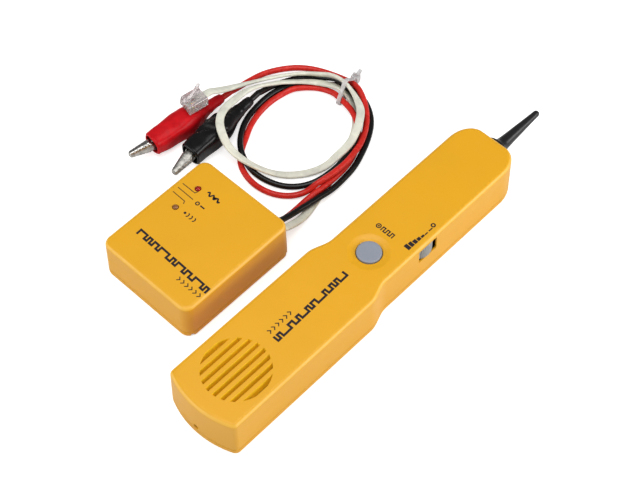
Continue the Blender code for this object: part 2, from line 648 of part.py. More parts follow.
# distance behind the mouth, half height there
BOOT_STATIONS = [(0.0, 5.7), (1.0, 6.0), (12.0, 6.9), (20.0, 7.4), (26.0, 7.2), (30.0, 6.2),
                 (34.0, 4.9), (38.0, 3.9), (42.0, 3.3), (BOOT_LEN - 0.8, 2.75), (BOOT_LEN, 2.45)]
BOOT_SQUASH = 0.96     # half width across / half height
BOOT_POWER = 2.7       # squareness of the boot's section near the mouth; 2 is an ellipse
BORE = WIRE_R + 0.25   # hole for the wire in the boot's tail

PIVOT = 2.8            # jaw pivot behind the mouth
JAW_TIP, TOOTH_STEP, TEETH = -14.2, 1.42, 8
JAW_T = 0.5            # steel thickness
# middle of the jaw: x, edge height on the jaw's own side
JAW_EDGE = [(-2.2, 0.15), (0.4, 0.15), (1.0, -1.35), (3.3, -1.35), (4.8, -0.3), (5.2, 0.3)]


def boot_half(s):
    """Half height of the boot at s mm behind its mouth."""
    return float(np.interp(s, *zip(*BOOT_STATIONS)))


def oval(half, x, power, squash=BOOT_SQUASH):
    """Fourteen-point superellipse across the x axis."""
    out = []
    for i in range(14):
        a = 2 * math.pi * (i + 0.5) / 14
        c, s = math.cos(a), math.sin(a)
        out.append((x, half * math.copysign(abs(c) ** (2 / power), c),
                    half * squash * math.copysign(abs(s) ** (2 / power), s)))
    return out


def boot(name, frame, slot):
    """Hollow sleeve: outside, tail bore, then the inside back to the mouth."""
    def power(s):
        return BOOT_POWER if s < 28 else 2.1

    rings = [oval(half, s, power(s)) for s, half in BOOT_STATIONS]
    rings.append(oval(BORE, BOOT_LEN, 2.0, 1.0))
    rings.append(oval(BORE, 34.0, power(34.0), 1.0))
    rings += [oval(boot_half(s) - 1.0, s, power(s)) for s in (28.0, 20.0, 12.0, 1.0)]
    rings.append(oval(4.9, 0.0, BOOT_POWER))
    make(name, loft(rings + [rings[0]], caps=False), slot, frame, frame.translation)


def jaw_stations(side):
    """Rows of x, half width, height, edge height, lift; side is +1 above, -1 below."""
    rows = []
    for k in range(TEETH + 1):
        u = k / TEETH
        tooth = 0.0 if k in (0, TEETH) else (0.3 if k % 2 else -0.3)
        rows.append((JAW_TIP + TOOTH_STEP * k, 1.7 + 1.75 * u, 1.5 + 1.1 * u, tooth + 0.15 * side, 0.0))
    ears = 3.5 if side < 0 else 2.7
    rows += [(x, 3.45 if x < 0 else ears, 2.6, edge * side, 0.0) for x, edge in JAW_EDGE]
    rows.append((7.6, ears - 0.4, 2.6, 0.9 * side, 0.4))
    rows.append((10.4, ears - 0.9, 2.5, 1.1 * side, 0.7))
    return rows


def pivot_frame(frame):
    """Frame on the jaw pivot, its z along the pin."""
    return frame @ Matrix.Translation((PIVOT, 0, 0)) @ UPRIGHT


def jaw(name, frame, side):
    """Half of a pressed-steel clip: toothed beak, pivot ears and a spread tail."""
    rings = []
    for x, w, height, edge, lift in jaw_stations(side):
        top = (height + lift) * side
        mid = (0.62 * height + lift) * side
        inner_mid, inner_top = mid - 0.15 * side, top - JAW_T * side
        outer = [(-w, edge), (-w, mid), (-0.55 * w, top), (0.55 * w, top), (w, mid), (w, edge)]
        inner = [(w - JAW_T, edge), (w - JAW_T, inner_mid), (0.5 * w - 0.15, inner_top),
                 (-0.5 * w + 0.15, inner_top), (-w + JAW_T, inner_mid), (-w + JAW_T, edge)]
        rings.append([(x, y, z) for y, z in outer + inner])
    ob = make(name, loft(rings), "steel", frame, frame @ Vector((PIVOT, 0, 0)))
    cut(ob, name + "_pin_hole", cyl(0, 0, 1.1, -6, 6, 12), pivot_frame(frame))
    freeze(ob)


def jaw_spring(name, frame):
    """Three turns round the pivot pin and one straight leg."""
    turns, per_turn, coil_r, coil_l = 3, 9, 1.55, 2.2
    points = []
    for i in range(turns * per_turn + 1):
        a = 2 * math.pi * i / per_turn - math.pi / 2
        points.append((PIVOT + coil_r * math.cos(a), -coil_l / 2 + coil_l * i / (turns * per_turn),
                       coil_r * math.sin(a)))
    points.append((PIVOT + 4.5, 1.15, -1.75))
    make(name, wire(points, 0.27), "steel", frame, pivot_frame(frame).translation)


def clip(prefix, boot_frame, jaw_frame, slot):
    boot(prefix + "_boot", boot_frame, slot)
    jaw(prefix + "_jaw_fixed", jaw_frame, -1.0)
    jaw(prefix + "_jaw_moving", jaw_frame, 1.0)
    pin_frame = pivot_frame(jaw_frame)
    pin = lathe([(0, -3.9), (0.8, -3.9), (0.8, 3.9), (0, 3.9)], 12)
    make(prefix + "_pivot_pin", pin, "steel", pin_frame, pin_frame.translation)
    jaw_spring(prefix + "_jaw_spring", jaw_frame)


clip("red_clip", RED_BOOT, RED_JAWS, "red_vinyl")
clip("black_clip", BLK_BOOT, BLK_JAWS, "black_vinyl")

# ================================================================ PHONE PLUG
# Lies over the red boot, latch upwards; its frame's +x runs from nose to cable.
PLUG = frame_at((-28.6, 140.2, 18.8), (1.0, -0.16, 0.0), 3.0)
PLUG_L, PLUG_W, PLUG_H = 12.3, 9.65, 6.6
PLUG_TOP, PLUG_LOW = PLUG_H / 2, -PLUG_H / 2
CONTACT_YS = [(k - 1.5) * 1.02 for k in range(4)]
# side views, (x, z)
PLUG_SIDE = [(0.0, PLUG_LOW), (PLUG_L, PLUG_LOW), (PLUG_L, PLUG_TOP - 0.2),
             (PLUG_L - 3.2, PLUG_TOP), (1.4, PLUG_TOP), (0.0, PLUG_TOP - 1.6)]
CONTACT_SIDE = [(0.5, PLUG_LOW + 0.25), (3.9, PLUG_LOW + 0.25), (3.9, PLUG_LOW + 3.0),
                (1.6, PLUG_LOW + 3.0), (0.5, PLUG_LOW + 1.2)]
LATCH_SIDE = [(-0.9, 0.0), (0.0, 0.35), (1.3, 1.25), (4.4, 4.75), (7.3, 8.7),
              (8.2, 8.35), (5.2, 4.1), (2.1, 0.65), (1.0, -0.35), (-0.7, -0.4)]
LATCH_HINGE = (2.0, 0.0, PLUG_TOP + 0.75)

plug = make("plug_body", moved(plate(PLUG_SIDE, PLUG_W / 2), UPRIGHT), "clear_plastic",
            PLUG, PLUG.translation)
slots = [box((PLUG_L - 6.0, PLUG_L + 1), around(0, FLAT_W / 2 + GAP), around(0, FLAT_T / 2 + GAP))]
slots += [box((-1.0, 4.3), around(y, 0.30), (PLUG_LOW - 1, PLUG_LOW + 3.4)) for y in CONTACT_YS]
cut(plug, "plug_cuts", join_parts(slots), PLUG)
freeze(plug)
for k, y in enumerate(CONTACT_YS):
    contact = moved(plate(CONTACT_SIDE, 0.13), Matrix.Translation((0, y, 0)) @ UPRIGHT)
    make("plug_contact_%d" % (k + 1), contact, "gold_contact", PLUG,
         PLUG @ Vector((2.0, y, PLUG_LOW + 1.5)))
# latch arm hinged just above the nose
latch = moved(plate(LATCH_SIDE, 1.55), Matrix.Translation(LATCH_HINGE) @ UPRIGHT)
make("plug_latch", latch, "clear_plastic", PLUG, PLUG @ Vector(LATCH_HINGE))


# ================================================================ LEADS
def on_axis(frame, *distances):
    return [tuple(frame @ Vector((d, 0, 0))) for d in distances]


# Centre lines, (x, y, z), from the clip or plug to inside the sender.
RED_ROUTE = on_axis(RED_BOOT, 31.0, BOOT_LEN + 4.0) + [
    (11, 137.6, 6.5), (18, 137.7, 3), (26.7, 136.4, 2.5), (36, 131.6, 2.5), (44.8, 124.4, 3),
    (51, 114.7, 3), (54.3, 104, 3), (55.2, 95, 3), (53.5, 86, 3), (49.3, 77.8, 5), (42.8, 70.3, 6),
    (34.2, 63.9, 7), (24.8, 59.7, 7), (13.6, 56.6, 7.4), (4.9, 55.9, 7.6), (-6.5, 56.4, 6.2),
    (-15.2, 59, 3.5), (-22.4, 63.3, 2), (-26.8, 68, 1.6), (-30.2, 74.4, 1.6), (-32, 84, 1.6),
    (-30.6, 93.1, 1.6), (-27.2, 100.4, 1.6), (-20.5, 106.3, 1.6), (-10.9, 111.3, 1.6),
    (-4.8, 115.1, 1.6), (4.2, 117.9, 1.6), (15, 119.1, 1.6), (25.9, 118.1, 2), (34, 114.2, 3),
    (40.1, 108.3, 3), (44.3, 101.2, 3), (44.6, 95.2, 3.0), (42.6, 86.6, 4.6), (40.6, 78.8, 5.0),
    (36.4, 71.4, 4.4), (29.6, 65.0, 3.2), (20.0, 59.4, 2.8), (9, 56.2, 4.0), (-3, 54.9, 4.8),
    (-12, 55.6, 5.0), (-21.6, 56.4, 4.4), (-30, 56.0, 6.2), (-40, 55.0, 8.9), (-48, 54.9, 9.3),
    (-55, 54.9, 9.3)]
BLACK_ROUTE = on_axis(BLK_BOOT, 31.0, BOOT_LEN + 4.0) + [
    (21.5, 125.4, 6.5), (31.5, 123.2, 4.5), (39.6, 118.8, 3.5), (46.3, 110.4, 2.5),
    (49.5, 101.8, 2.5), (50.6, 91.5, 2.5), (46.1, 79.4, 4.8), (37.3, 70.8, 5), (25.2, 63.0, 4.5),
    (12.4, 59.1, 3), (3.7, 58.6, 1.6), (-3.5, 59.6, 1.6), (-11.5, 62.6, 1.6), (-18.1, 67.5, 1.6),
    (-22.9, 74, 1.6), (-26.1, 84.6, 1.8), (-26.2, 94, 3), (-24.5, 101.5, 5), (-20.5, 107, 5),
    (-14.8, 112.2, 5), (-5.9, 118.0, 5), (5.5, 121.5, 4.5), (18.4, 122.3, 3.5), (28.5, 120.2, 2.5),
    (35.9, 115.6, 1.8), (44.0, 108.2, 1.8), (49.2, 99.1, 1.8), (52.6, 89.2, 2.2), (52.7, 80.8, 2),
    (45.7, 69.5, 1.8), (36, 62.4, 1.8), (24.7, 57.2, 1.8), (12.1, 53.6, 1.8), (-3.7, 51.5, 3.2),
    (-12, 51.9, 4.6), (-21.6, 52.9, 6.6), (-31, 53.6, 9.8), (-39, 53.2, 12.2), (-48, 53.0, 12.8),
    (-55, 53.0, 12.8)]
WHITE_ROUTE = on_axis(PLUG, PLUG_L - 5.6, PLUG_L + 3.5) + [
    (-2.7, 136.4, 17.2), (8.3, 135.2, 13), (20.9, 131.6, 9.5), (28.3, 128.0, 8.5),
    (35.3, 122.6, 8), (42.6, 114.2, 8), (48.2, 104.4, 8), (49.8, 94.4, 8.5), (47.9, 85, 8.5),
    (43.5, 76.3, 8), (38.3, 70.7, 8.5), (29.5, 65.4, 9), (19.8, 62.4, 9), (10.4, 62.4, 8.5),
    (1.3, 64.4, 7.5), (-10, 71.5, 4.8), (-17.8, 79, 5), (-23.6, 88.4, 6), (-26.6, 96.8, 8),
    (-28, 105.4, 10), (-27.1, 113.3, 15.5), (-24, 119.0, 17.6), (-19.5, 122.9, 18),
    (-12.2, 126.4, 17), (-4.5, 127.4, 15), (5.3, 128.3, 12), (15.3, 126.3, 10), (27, 122.3, 8),
    (35.3, 115.3, 8), (42.5, 106.7, 8), (47.4, 99.5, 6.8), (48.6, 90.4, 3.2), (45.2, 82.3, 2.2),
    (39.1, 74.4, 1.6), (30.3, 67.5, 1.6), (20, 62.8, 1.4), (9.5, 59.4, 1.4), (-2, 57.0, 1.5),
    (-10, 55.0, 1.8), (-16.3, 53.6, 2.2), (-22, 51.8, 3.8), (-29.5, 49.9, 6.4),
    (-39.6, 49.0, 9.8), (-48, 49.0, 10.6), (-55, 49.0, 10.6)]
ROUTES = [RED_ROUTE, BLACK_ROUTE, WHITE_ROUTE]
LEAD_RADII = [(WIRE_R, WIRE_R), (WIRE_R, WIRE_R), (FLAT_W / 2, FLAT_T / 2)]   # level, upright
LEAD_HELD = [(17, 6), (17, 6), (7, 6)]     # samples held still at the start and the end
SAMPLE_STEP = 1.5

# spacing of the leads
ROUNDS = 520
MIN_ROUNDS = 120       # rounds run before an early stop is allowed
LEAD_GAP = 0.7         # clearance between leads
NEIGHBOURS = 8         # samples of one lead this close along it never push each other
PUSH = 0.55            # share of an overlap removed each round
SIDEWAYS = 0.35        # weight of sideways moves against lifting
UP_BIAS = 0.35         # extra vertical push for the upper and the lower lead
PULL_BACK = 0.01       # return towards the route's plan
SINK = 0.02            # settling each round


def smooth_route(points):
    """Even samples of a Catmull-Rom curve through the points."""
    p = np.array(points, float)
    p = np.vstack([2 * p[0] - p[1], p, 2 * p[-1] - p[-2]])
    out = []
    for i in range(1, len(p) - 2):
        a, b, c, d = p[i - 1], p[i], p[i + 1], p[i + 2]
        n = max(int(np.linalg.norm(c - b) / 0.5), 2)
        for k in range(n):
            t = k / n
            out.append(0.5 * (2 * b + (c - a) * t + (2 * a - 5 * b + 4 * c - d) * t * t
                              + (3 * b - a - 3 * c + d) * t ** 3))
    out.append(p[-2])
    out = np.array(out)
    length = np.concatenate([[0], np.cumsum(np.linalg.norm(np.diff(out, axis=0), axis=1))])
    t = np.linspace(0, length[-1], int(round(length[-1] / SAMPLE_STEP)) + 1)
    return np.stack([np.interp(t, length, out[:, k]) for k in range(3)], 1)


def boot_floor(P, frame, level_r, upright_r):
    """Lowest height a lead may have where it passes over a boot."""
    start = np.array(frame.translation)
    axis = np.array((frame @ Vector((1, 0, 0))) - frame.translation)
    flat = axis[:2] / np.linalg.norm(axis[:2])
    offset = P[:, :2] - start[:2]
    s = offset @ flat
    lateral = np.abs(offset @ np.array((-flat[1], flat[0])))
    r = np.array([boot_half(min(max(q, 0.0), BOOT_LEN)) for q in s])
    r = np.where((s > -level_r) & (s < BOOT_LEN + level_r), r, 0.0)
    e = np.clip(np.maximum(lateral - level_r - 0.1, 0.0) / np.maximum(r, 0.1), 0.0, 1.0)
    rise = r * (1.0 - e ** BOOT_POWER) ** (1 / BOOT_POWER)
    top = start[2] + axis[2] * np.clip(s, 0, BOOT_LEN) + rise
    return np.where((r > 0) & (e < 1.0), top + upright_r + 0.45, 0.0)


def space_leads():
    """Open up the crossings: lift and shift the leads until none touch."""
    pts = [smooth_route(r) for r in ROUTES]
    owner = np.concatenate([np.full(len(p), i) for i, p in enumerate(pts)])
    index = np.concatenate([np.arange(len(p)) for p in pts])
    count = np.array([len(p) for p in pts])[owner]
    P = np.vstack(pts)
    P0 = P.copy()
    level_r, upright_r = np.array(LEAD_RADII)[owner].T
    head, tail = np.array(LEAD_HELD)[owner].T
    free = (index >= head) & (index < count - tail)
    # freedom to move fades in over six samples from each held end
    ramp = np.clip(np.minimum(index - head, count - tail - 1 - index) / 6.0, 0, 1) * free
    reach_h = level_r[:, None] + level_r[None, :] + LEAD_GAP
    reach_v = upright_r[:, None] + upright_r[None, :] + LEAD_GAP
    apart = ((owner[:, None] != owner[None, :])
             | (np.abs(index[:, None] - index[None, :]) > NEIGHBOURS))
    # the floor rises near the cable tie to leave room for its band
    tie_distance = np.hypot(P[:, 0] - TIE_AT[0], (P[:, 1] - TIE_AT[1]))
    floor = upright_r + 0.05 + 1.35 * np.clip((11.0 - tie_distance) / 5.0, 0, 1)
    flat_lead = owner == 2
    for k in range(ROUNDS):
        D = P[:, None, :] - P[None, :, :]
        q = np.sqrt((D[..., 0] / reach_h) ** 2 + (D[..., 1] / reach_h) ** 2
                    + (D[..., 2] / reach_v) ** 2)
        hit = apart & (q < 1.0)
        if k > MIN_ROUNDS and not hit.any():
            break
        # push each touching pair apart; level pairs keep the routes' order in height
        ii, jj = np.nonzero(hit)
        d, near_h, near_v = D[ii, jj], reach_h[ii, jj], reach_v[ii, jj]
        order = np.sign(P0[ii, 2] - P0[jj, 2] + 1e-4 * (owner[ii] - owner[jj])
                        + 1e-5 * (index[ii] - index[jj]))
        up = np.where(np.abs(d[:, 2]) > 1e-3, np.sign(d[:, 2]), order)
        push = np.stack([SIDEWAYS * d[:, 0] / near_h, SIDEWAYS * d[:, 1] / near_h,
                         d[:, 2] / near_v + UP_BIAS * up], 1)
        push /= np.linalg.norm(push, axis=1)[:, None] + 1e-9
        move = np.zeros_like(P)
        hits = np.zeros(len(P))
        np.add.at(move, ii, push * ((1.0 - q[ii, jj]) * near_v)[:, None])
        np.add.at(hits, ii, 1.0)
        move /= np.maximum(hits, 1.0)[:, None]
        P = P + move * PUSH * ramp[:, None]
        # smooth, strongly at first
        lap = np.zeros_like(P)
        lap[1:-1] = 0.5 * (P[:-2] + P[2:]) - P[1:-1]
        calm = 0.35 if k < ROUNDS * 0.7 else 0.12
        P = P + lap * calm * ramp[:, None]
        P[:, :2] += (P0[:, :2] - P[:, :2]) * PULL_BACK * ramp[:, None]
        P[:, 2] -= SINK * ramp * (k < ROUNDS * 0.6)
        P[:, 2] = np.where(free, np.maximum(P[:, 2], floor), P[:, 2])
        if k % 4 == 0 or k > ROUNDS * 0.9:
            lift = np.maximum(boot_floor(P, RED_BOOT, level_r, upright_r),
                              boot_floor(P, BLK_BOOT, level_r, upright_r))
        P[:, 2] = np.where(free & flat_lead, np.maximum(P[:, 2], lift), P[:, 2])
    return [P[owner == i] for i in range(len(pts))]


def thin_out(points, every=5):
    """Every fifth sample, always with the last one."""
    last = len(points) - 1
    keep = list(range(0, len(points), every))
    if keep[-1] != last:
        if last - keep[-1] < every / 2:
            keep[-1] = last
        else:
            keep.append(last)
    return points[keep]


LEADS = space_leads()
half_w, half_t = FLAT_W / 2, FLAT_T / 2
FLAT_SECTION = [(half_w, 0.35), (half_w - 0.8, half_t), (-half_w + 0.8, half_t), (-half_w, 0.35),
                (-half_w, -0.35), (-half_w + 0.8, -half_t), (half_w - 0.8, -half_t), (half_w, -0.35)]
make("red_wire", wire(thin_out(LEADS[0]), WIRE_R), "red_vinyl")
make("black_wire", wire(thin_out(LEADS[1]), WIRE_R), "black_vinyl")
make("phone_cable", wire(thin_out(LEADS[2]), section=FLAT_SECTION), "ivory_vinyl")


# ================================================================ CABLE TIE
def cable_tie():
    """Nylon band round everything that passes through the tie plane."""
    along = Vector((-0.22, 0.975, 0.0)).normalized()      # along the bundle
    side = Vector((0, 0, 1)).cross(along) * -1.0          # across it, towards +X
    centre = Vector((TIE_AT[0], TIE_AT[1], 0))
    lo, hi, top = 1e9, -1e9, 0.0
    for lead, (level_r, upright_r) in zip(LEADS, LEAD_RADII):
        for point in lead:
            d = Vector(point) - centre
            s = d.dot(side)
            if abs(d.dot(along)) < 3.0 and abs(s) < 14.0:
                lo, hi = min(lo, s - level_r), max(hi, s + level_r)
                top = max(top, point[2] + upright_r)
    lo, hi, top, bottom = lo - 0.5, hi + 0.5, top + 0.5, 1.15
    half_width, thick, r = 1.25, 1.0, 2.6
    frame = Matrix(((side.x, along.x, 0, centre.x), (side.y, along.y, 0, centre.y),
                    (0, 0, 1, 0), (0, 0, 0, 1)))
    rings = []
    for cx, cz, start in ((hi - r, bottom + r, -90), (hi - r, top - r, 0),
                          (lo + r, top - r, 90), (lo + r, bottom + r, 180)):
        for k in range(4):
            a = math.radians(start + 30.0 * k)
            (xi, zi), (xo, zo) = [(cx + q * math.cos(a), cz + q * math.sin(a)) for q in (r, r + thick)]
            rings.append([(xi, -half_width, zi), (xo, -half_width, zo),
                          (xo, half_width, zo), (xi, half_width, zi)])
    ob = make("cable_tie", loft(rings + [rings[0]], caps=False), "clear_nylon", frame)
    # locking head on the side towards +X, and the strap's free end beyond it
    head_x, head_z = hi + thick * 0.6, top - 1.0
    head = box((head_x - 0.3, head_x + 3.6), (-2.3, 2.3), around(head_z, 2.4))
    strap = loft([[(x, -1.1, z), (x, 1.1, z), (x, 1.1, z + 1.0), (x, -1.1, z + 1.0)]
                  for x, z in ((head_x + 2.0, head_z - 0.1), (head_x + 6.5, head_z + 0.3))])
    fuse(ob, "tie_head", head, frame)
    fuse(ob, "tie_strap", strap, frame)
    freeze(ob)


cable_tie()

# round pieces shaded smooth, with their real corners kept sharp
for ob in kit.objects:
    ob.data.shade_smooth()
    ob.data.set_sharp_from_angle(angle=math.radians(32))
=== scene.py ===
# Tone probe kit: a sender box with two clip leads and a flat phone lead, and a receiver with a probe.
# The receiver lies along X with its probe at +X. The leads leave the +X wall of the sender box and
# run round a coil tied at its +X side. Both housings lie on their backs, top faces at +Z.
import json
import math

import bpy
import bmesh
import numpy as np
from mathutils import Matrix, Vector, noise


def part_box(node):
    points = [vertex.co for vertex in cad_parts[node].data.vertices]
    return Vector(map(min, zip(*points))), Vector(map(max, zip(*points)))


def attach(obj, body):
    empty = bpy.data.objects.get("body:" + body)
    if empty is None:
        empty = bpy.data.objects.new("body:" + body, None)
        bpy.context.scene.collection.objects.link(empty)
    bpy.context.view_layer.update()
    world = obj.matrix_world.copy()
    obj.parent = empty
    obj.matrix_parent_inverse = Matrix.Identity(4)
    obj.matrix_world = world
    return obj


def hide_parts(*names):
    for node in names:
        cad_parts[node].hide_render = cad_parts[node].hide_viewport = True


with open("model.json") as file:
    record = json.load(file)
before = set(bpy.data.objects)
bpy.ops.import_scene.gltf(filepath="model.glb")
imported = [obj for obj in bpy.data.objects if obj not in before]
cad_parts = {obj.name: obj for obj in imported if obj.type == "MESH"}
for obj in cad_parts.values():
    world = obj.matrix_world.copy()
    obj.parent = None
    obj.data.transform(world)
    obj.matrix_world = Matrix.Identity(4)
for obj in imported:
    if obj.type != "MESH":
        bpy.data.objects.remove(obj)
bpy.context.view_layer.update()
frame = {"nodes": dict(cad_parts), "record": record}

MM = 0.001
scene = bpy.context.scene
nodes = frame["nodes"]
RECEIVER, SENDER = "receiver", "sender_unit"


def cad(node):
    """Lowest and highest corner of a CAD node in millimetres."""
    low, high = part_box(node)
    return low / MM, high / MM


def centre(node):
    """Plan centre of a CAD node."""
    low, high = cad(node)
    return (low.x + high.x) / 2, (low.y + high.y) / 2


# ================================================================ materials
class Shader:
    """One node tree. Inputs may be sockets to link or plain values; colours are RGB."""

    def __init__(self, owner, surface="Principled BSDF"):
        owner.use_nodes = True
        self.owner = owner
        self.tree = owner.node_tree
        self.surface = self.tree.nodes[surface]

    def feed(self, socket, value):
        if isinstance(value, bpy.types.NodeSocket):
            self.tree.links.new(value, socket)
        elif isinstance(value, tuple):
            socket.default_value = (*value, 1.0)[:len(socket.default_value)]
        else:
            socket.default_value = value

    def node(self, kind, inputs, **settings):
        node = self.tree.nodes.new("ShaderNode" + kind)
        for key, value in settings.items():
            setattr(node, key, value)
        for key, value in inputs.items():
            self.feed(node.inputs[key], value)
        return node

    def set(self, inputs):
        for key, value in inputs.items():
            self.feed(self.surface.inputs[key], value)

    def coords(self, stretch=(1, 1, 1)):
        """Object coordinates in millimetres, optionally stretched."""
        source = self.node("TexCoord", {}).outputs["Object"]
        scale = tuple(1000.0 * k for k in stretch)
        return self.node("Mapping", {"Scale": scale, "Vector": source}).outputs["Vector"]

    def noise(self, vector, scale, detail=2.0, rough=0.5, distort=0.0):
        return self.node("TexNoise", {"Scale": scale, "Detail": detail, "Roughness": rough,
                                      "Distortion": distort, "Vector": vector}).outputs["Fac"]

    def ramp(self, fac, dark, bright, start=0.3, end=0.7):
        node = self.node("ValToRGB", {"Fac": fac})
        stops = node.color_ramp.elements
        while len(stops) > 1:
            stops.remove(stops[-1])
        stops[0].position = start
        stops[0].color = (*dark, 1.0)
        stops.new(end).color = (*bright, 1.0)
        return node.outputs["Color"]

    def span(self, value, low, high):
        """Map 0..1 to low..high."""
        inputs = {"To Min": low, "To Max": high, "Value": value}
        return self.node("MapRange", inputs).outputs["Result"]

    def math(self, operation, first, second):
        return self.node("Math", {0: first, 1: second}, operation=operation).outputs[0]

    def mix(self, fac, first, second):
        # sockets 6 and 7 are the colour pair of the Mix node
        return self.node("Mix", {0: fac, 6: first, 7: second}, data_type="RGBA").outputs[2]

    def bump(self, height, depth, strength, under=None):
        """Bump of a depth in millimetres on the surface, over another bump if given."""
        inputs = {"Strength": strength, "Distance": depth * MM, "Height": height}
        if under is not None:
            inputs["Normal"] = under
        normal = self.node("Bump", inputs).outputs["Normal"]
        self.set({"Normal": normal})
        return normal


def new_shader(name):
    return Shader(bpy.data.materials.new(name))


def shade(color, gain):
    return tuple(max(0.0, min(1.0, x * gain)) for x in color)


def paint_edge_highlight(mat, place, color, highlight_color):
    """Painted highlight: blend to the lighter highlight colour, in patches, where the surface turns
    from upright to level along the rounded edges.
    """
    geometry = mat.node("NewGeometry", {})
    up = mat.node("SeparateXYZ", {0: geometry.outputs["Normal"]}).outputs[2]
    masks = [mat.node("MapRange", {"From Min": start, "From Max": end, "Value": up},
                      interpolation_type="SMOOTHSTEP").outputs["Result"]
             for start, end in ((0.12, 0.45), (0.97, 0.80))]
    edge = mat.math("MULTIPLY", *masks)
    patches = mat.span(mat.noise(place, scale=0.12, detail=3.0), 0.35, 0.75)
    return mat.mix(mat.math("MULTIPLY", edge, patches), color, highlight_color)


def moulded(name, color, rough=0.42, grain=0.35, height=0.012, mottle=0.035, spec=0.5, highlight_color=None):
    """Moulded plastic: fine grain, faint colour drift, uneven gloss, a few fine scratches."""
    mat = new_shader(name)
    place = mat.coords()
    drift = mat.noise(place, scale=0.035, detail=3.0)
    fine = mat.noise(place, scale=1.0 / grain, detail=3.0, rough=0.6)
    paint = mat.ramp(drift, shade(color, 1 - mottle), shade(color, 1 + mottle))
    paint = mat.mix(mat.span(fine, 0.0, 0.06), paint, shade(color, 0.75))
    # painted highlight along the rounded edges, when a highlight colour is given
    if highlight_color is not None:
        paint = paint_edge_highlight(mat, place, paint, highlight_color)
    blot = mat.noise(place, scale=0.16, detail=4.0, rough=0.6, distort=0.4)
    mat.set({"Base Color": paint, "Roughness": mat.span(blot, rough - 0.07, rough + 0.07),
             "Specular IOR Level": spec, "Coat Roughness": 0.25})
    grained = mat.bump(fine, height, strength=0.6)
    scratch = mat.noise(mat.coords(stretch=(0.05, 1.2, 0.4)), scale=1.4, detail=1.0)
    mat.bump(mat.span(scratch, 0.0, 1.0), 0.004, strength=0.25, under=grained)
    return mat.owner


def vinyl(name, color, rough, spec, wrinkle=0.10):
    """Soft PVC: smooth low waves, fine pores, patchy gloss."""
    mat = new_shader(name)
    place = mat.coords()
    wave = mat.noise(place, scale=0.22, detail=2.0, rough=0.4, distort=0.6)
    pore = mat.noise(place, scale=4.0, detail=3.0, rough=0.6)
    paint = mat.ramp(wave, shade(color, 0.88), shade(color, 1.10))
    # grey dust in the pores, at zero strength
    paint = mat.mix(mat.span(pore, 0.0, 0.0), paint, (0.5, 0.5, 0.5))
    mat.set({"Base Color": paint, "Roughness": mat.span(wave, rough - 0.08, rough + 0.10),
             "Specular IOR Level": spec})
    waved = mat.bump(wave, wrinkle * 3.0, strength=0.35)
    mat.bump(pore, 0.010, strength=0.4, under=waved)
    return mat.owner


def metal(name, color, rough, brush=(0.15, 3.0, 3.0), dark=0.55):
    """Plated or brushed metal with drawing lines and dulled patches."""
    mat = new_shader(name)
    line = mat.noise(mat.coords(stretch=brush), scale=1.0, detail=3.0, rough=0.6)
    patch = mat.noise(mat.coords(), scale=0.55, detail=3.0, rough=0.55)
    mat.set({"Base Color": mat.ramp(patch, shade(color, dark), color, start=0.32, end=0.62),
             "Metallic": 1.0, "Roughness": mat.span(patch, rough + 0.12, rough - 0.05)})
    mat.bump(line, 0.010, strength=0.5)
    return mat.owner


def clear(name, color, rough, weight, ior=1.49, grain=0.02):
    """Clear moulded plastic with flow lines and slightly hazy faces."""
    mat = new_shader(name)
    place = mat.coords(stretch=(0.3, 1.0, 1.0))
    flow = mat.noise(place, scale=0.9, detail=2.0, rough=0.5, distort=0.8)
    mat.set({"Base Color": mat.ramp(flow, shade(color, 0.93), color), "IOR": ior,
             "Roughness": mat.span(flow, rough, rough + 0.08), "Transmission Weight": weight})
    mat.bump(flow, grain, strength=0.5)
    return mat.owner


def board(name):
    """Solder mask over copper tracks, with bare round pads."""
    mat = new_shader(name)
    place = mat.coords()
    tracks = mat.node("TexBrick", {"Scale": 0.22, "Mortar Size": 0.045,
                                   "Color1": (0.012, 0.105, 0.030),
                                   "Color2": (0.016, 0.125, 0.040),
                                   "Mortar": (0.035, 0.22, 0.075), "Vector": place}, offset=0.5)
    cells = mat.node("TexVoronoi", {"Scale": 0.33, "Vector": place})
    pad = mat.math("LESS_THAN", cells.outputs["Distance"], 0.16)
    mat.set({"Base Color": mat.mix(pad, tracks.outputs["Color"], (0.62, 0.60, 0.55)),
             "Metallic": pad, "Roughness": 0.35})
    mat.bump(tracks.outputs["Fac"], 0.03, strength=0.6)
    return mat.owner


def jacket(name, axis, side, seam):
    """Battery jacket: a copper band on one side of the seam, black on the other."""
    mat = new_shader(name)
    place = mat.coords()
    along = mat.node("SeparateXYZ", {0: place}).outputs[axis]
    band_mask = mat.math(side, along, seam)
    scuff = mat.noise(place, scale=0.8, detail=4.0, rough=0.6)
    paint = mat.mix(band_mask, (0.030, 0.030, 0.034), (0.62, 0.34, 0.08))
    paint = mat.mix(mat.span(scuff, 0.0, 0.12), paint, (0.3, 0.3, 0.3))
    mat.set({"Base Color": paint, "Roughness": mat.span(scuff, 0.22, 0.42), "Metallic": 0.35})
    mat.bump(scuff, 0.02, strength=0.3)
    return mat.owner


def paper(name, color):
    """Matt fibrous pulp."""
    mat = new_shader(name)
    fibre = mat.noise(mat.coords(), scale=2.2, detail=6.0, rough=0.7, distort=1.2)
    mat.set({"Base Color": mat.ramp(fibre, shade(color, 0.6), shade(color, 1.5)),
             "Roughness": 0.9})
    mat.bump(fibre, 0.05, strength=0.8)
    return mat.owner


def ink(name, color):
    """Screen printed ink with tiny pinholes."""
    mat = new_shader(name)
    pin = mat.noise(mat.coords(), scale=5.0, detail=2.0)
    mat.set({"Base Color": mat.ramp(pin, shade(color, 1.9), color, start=0.25, end=0.5),
             "Roughness": mat.span(pin, 0.45, 0.65), "Specular IOR Level": 0.35})
    mat.bump(pin, 0.006, strength=0.4)
    return mat.owner


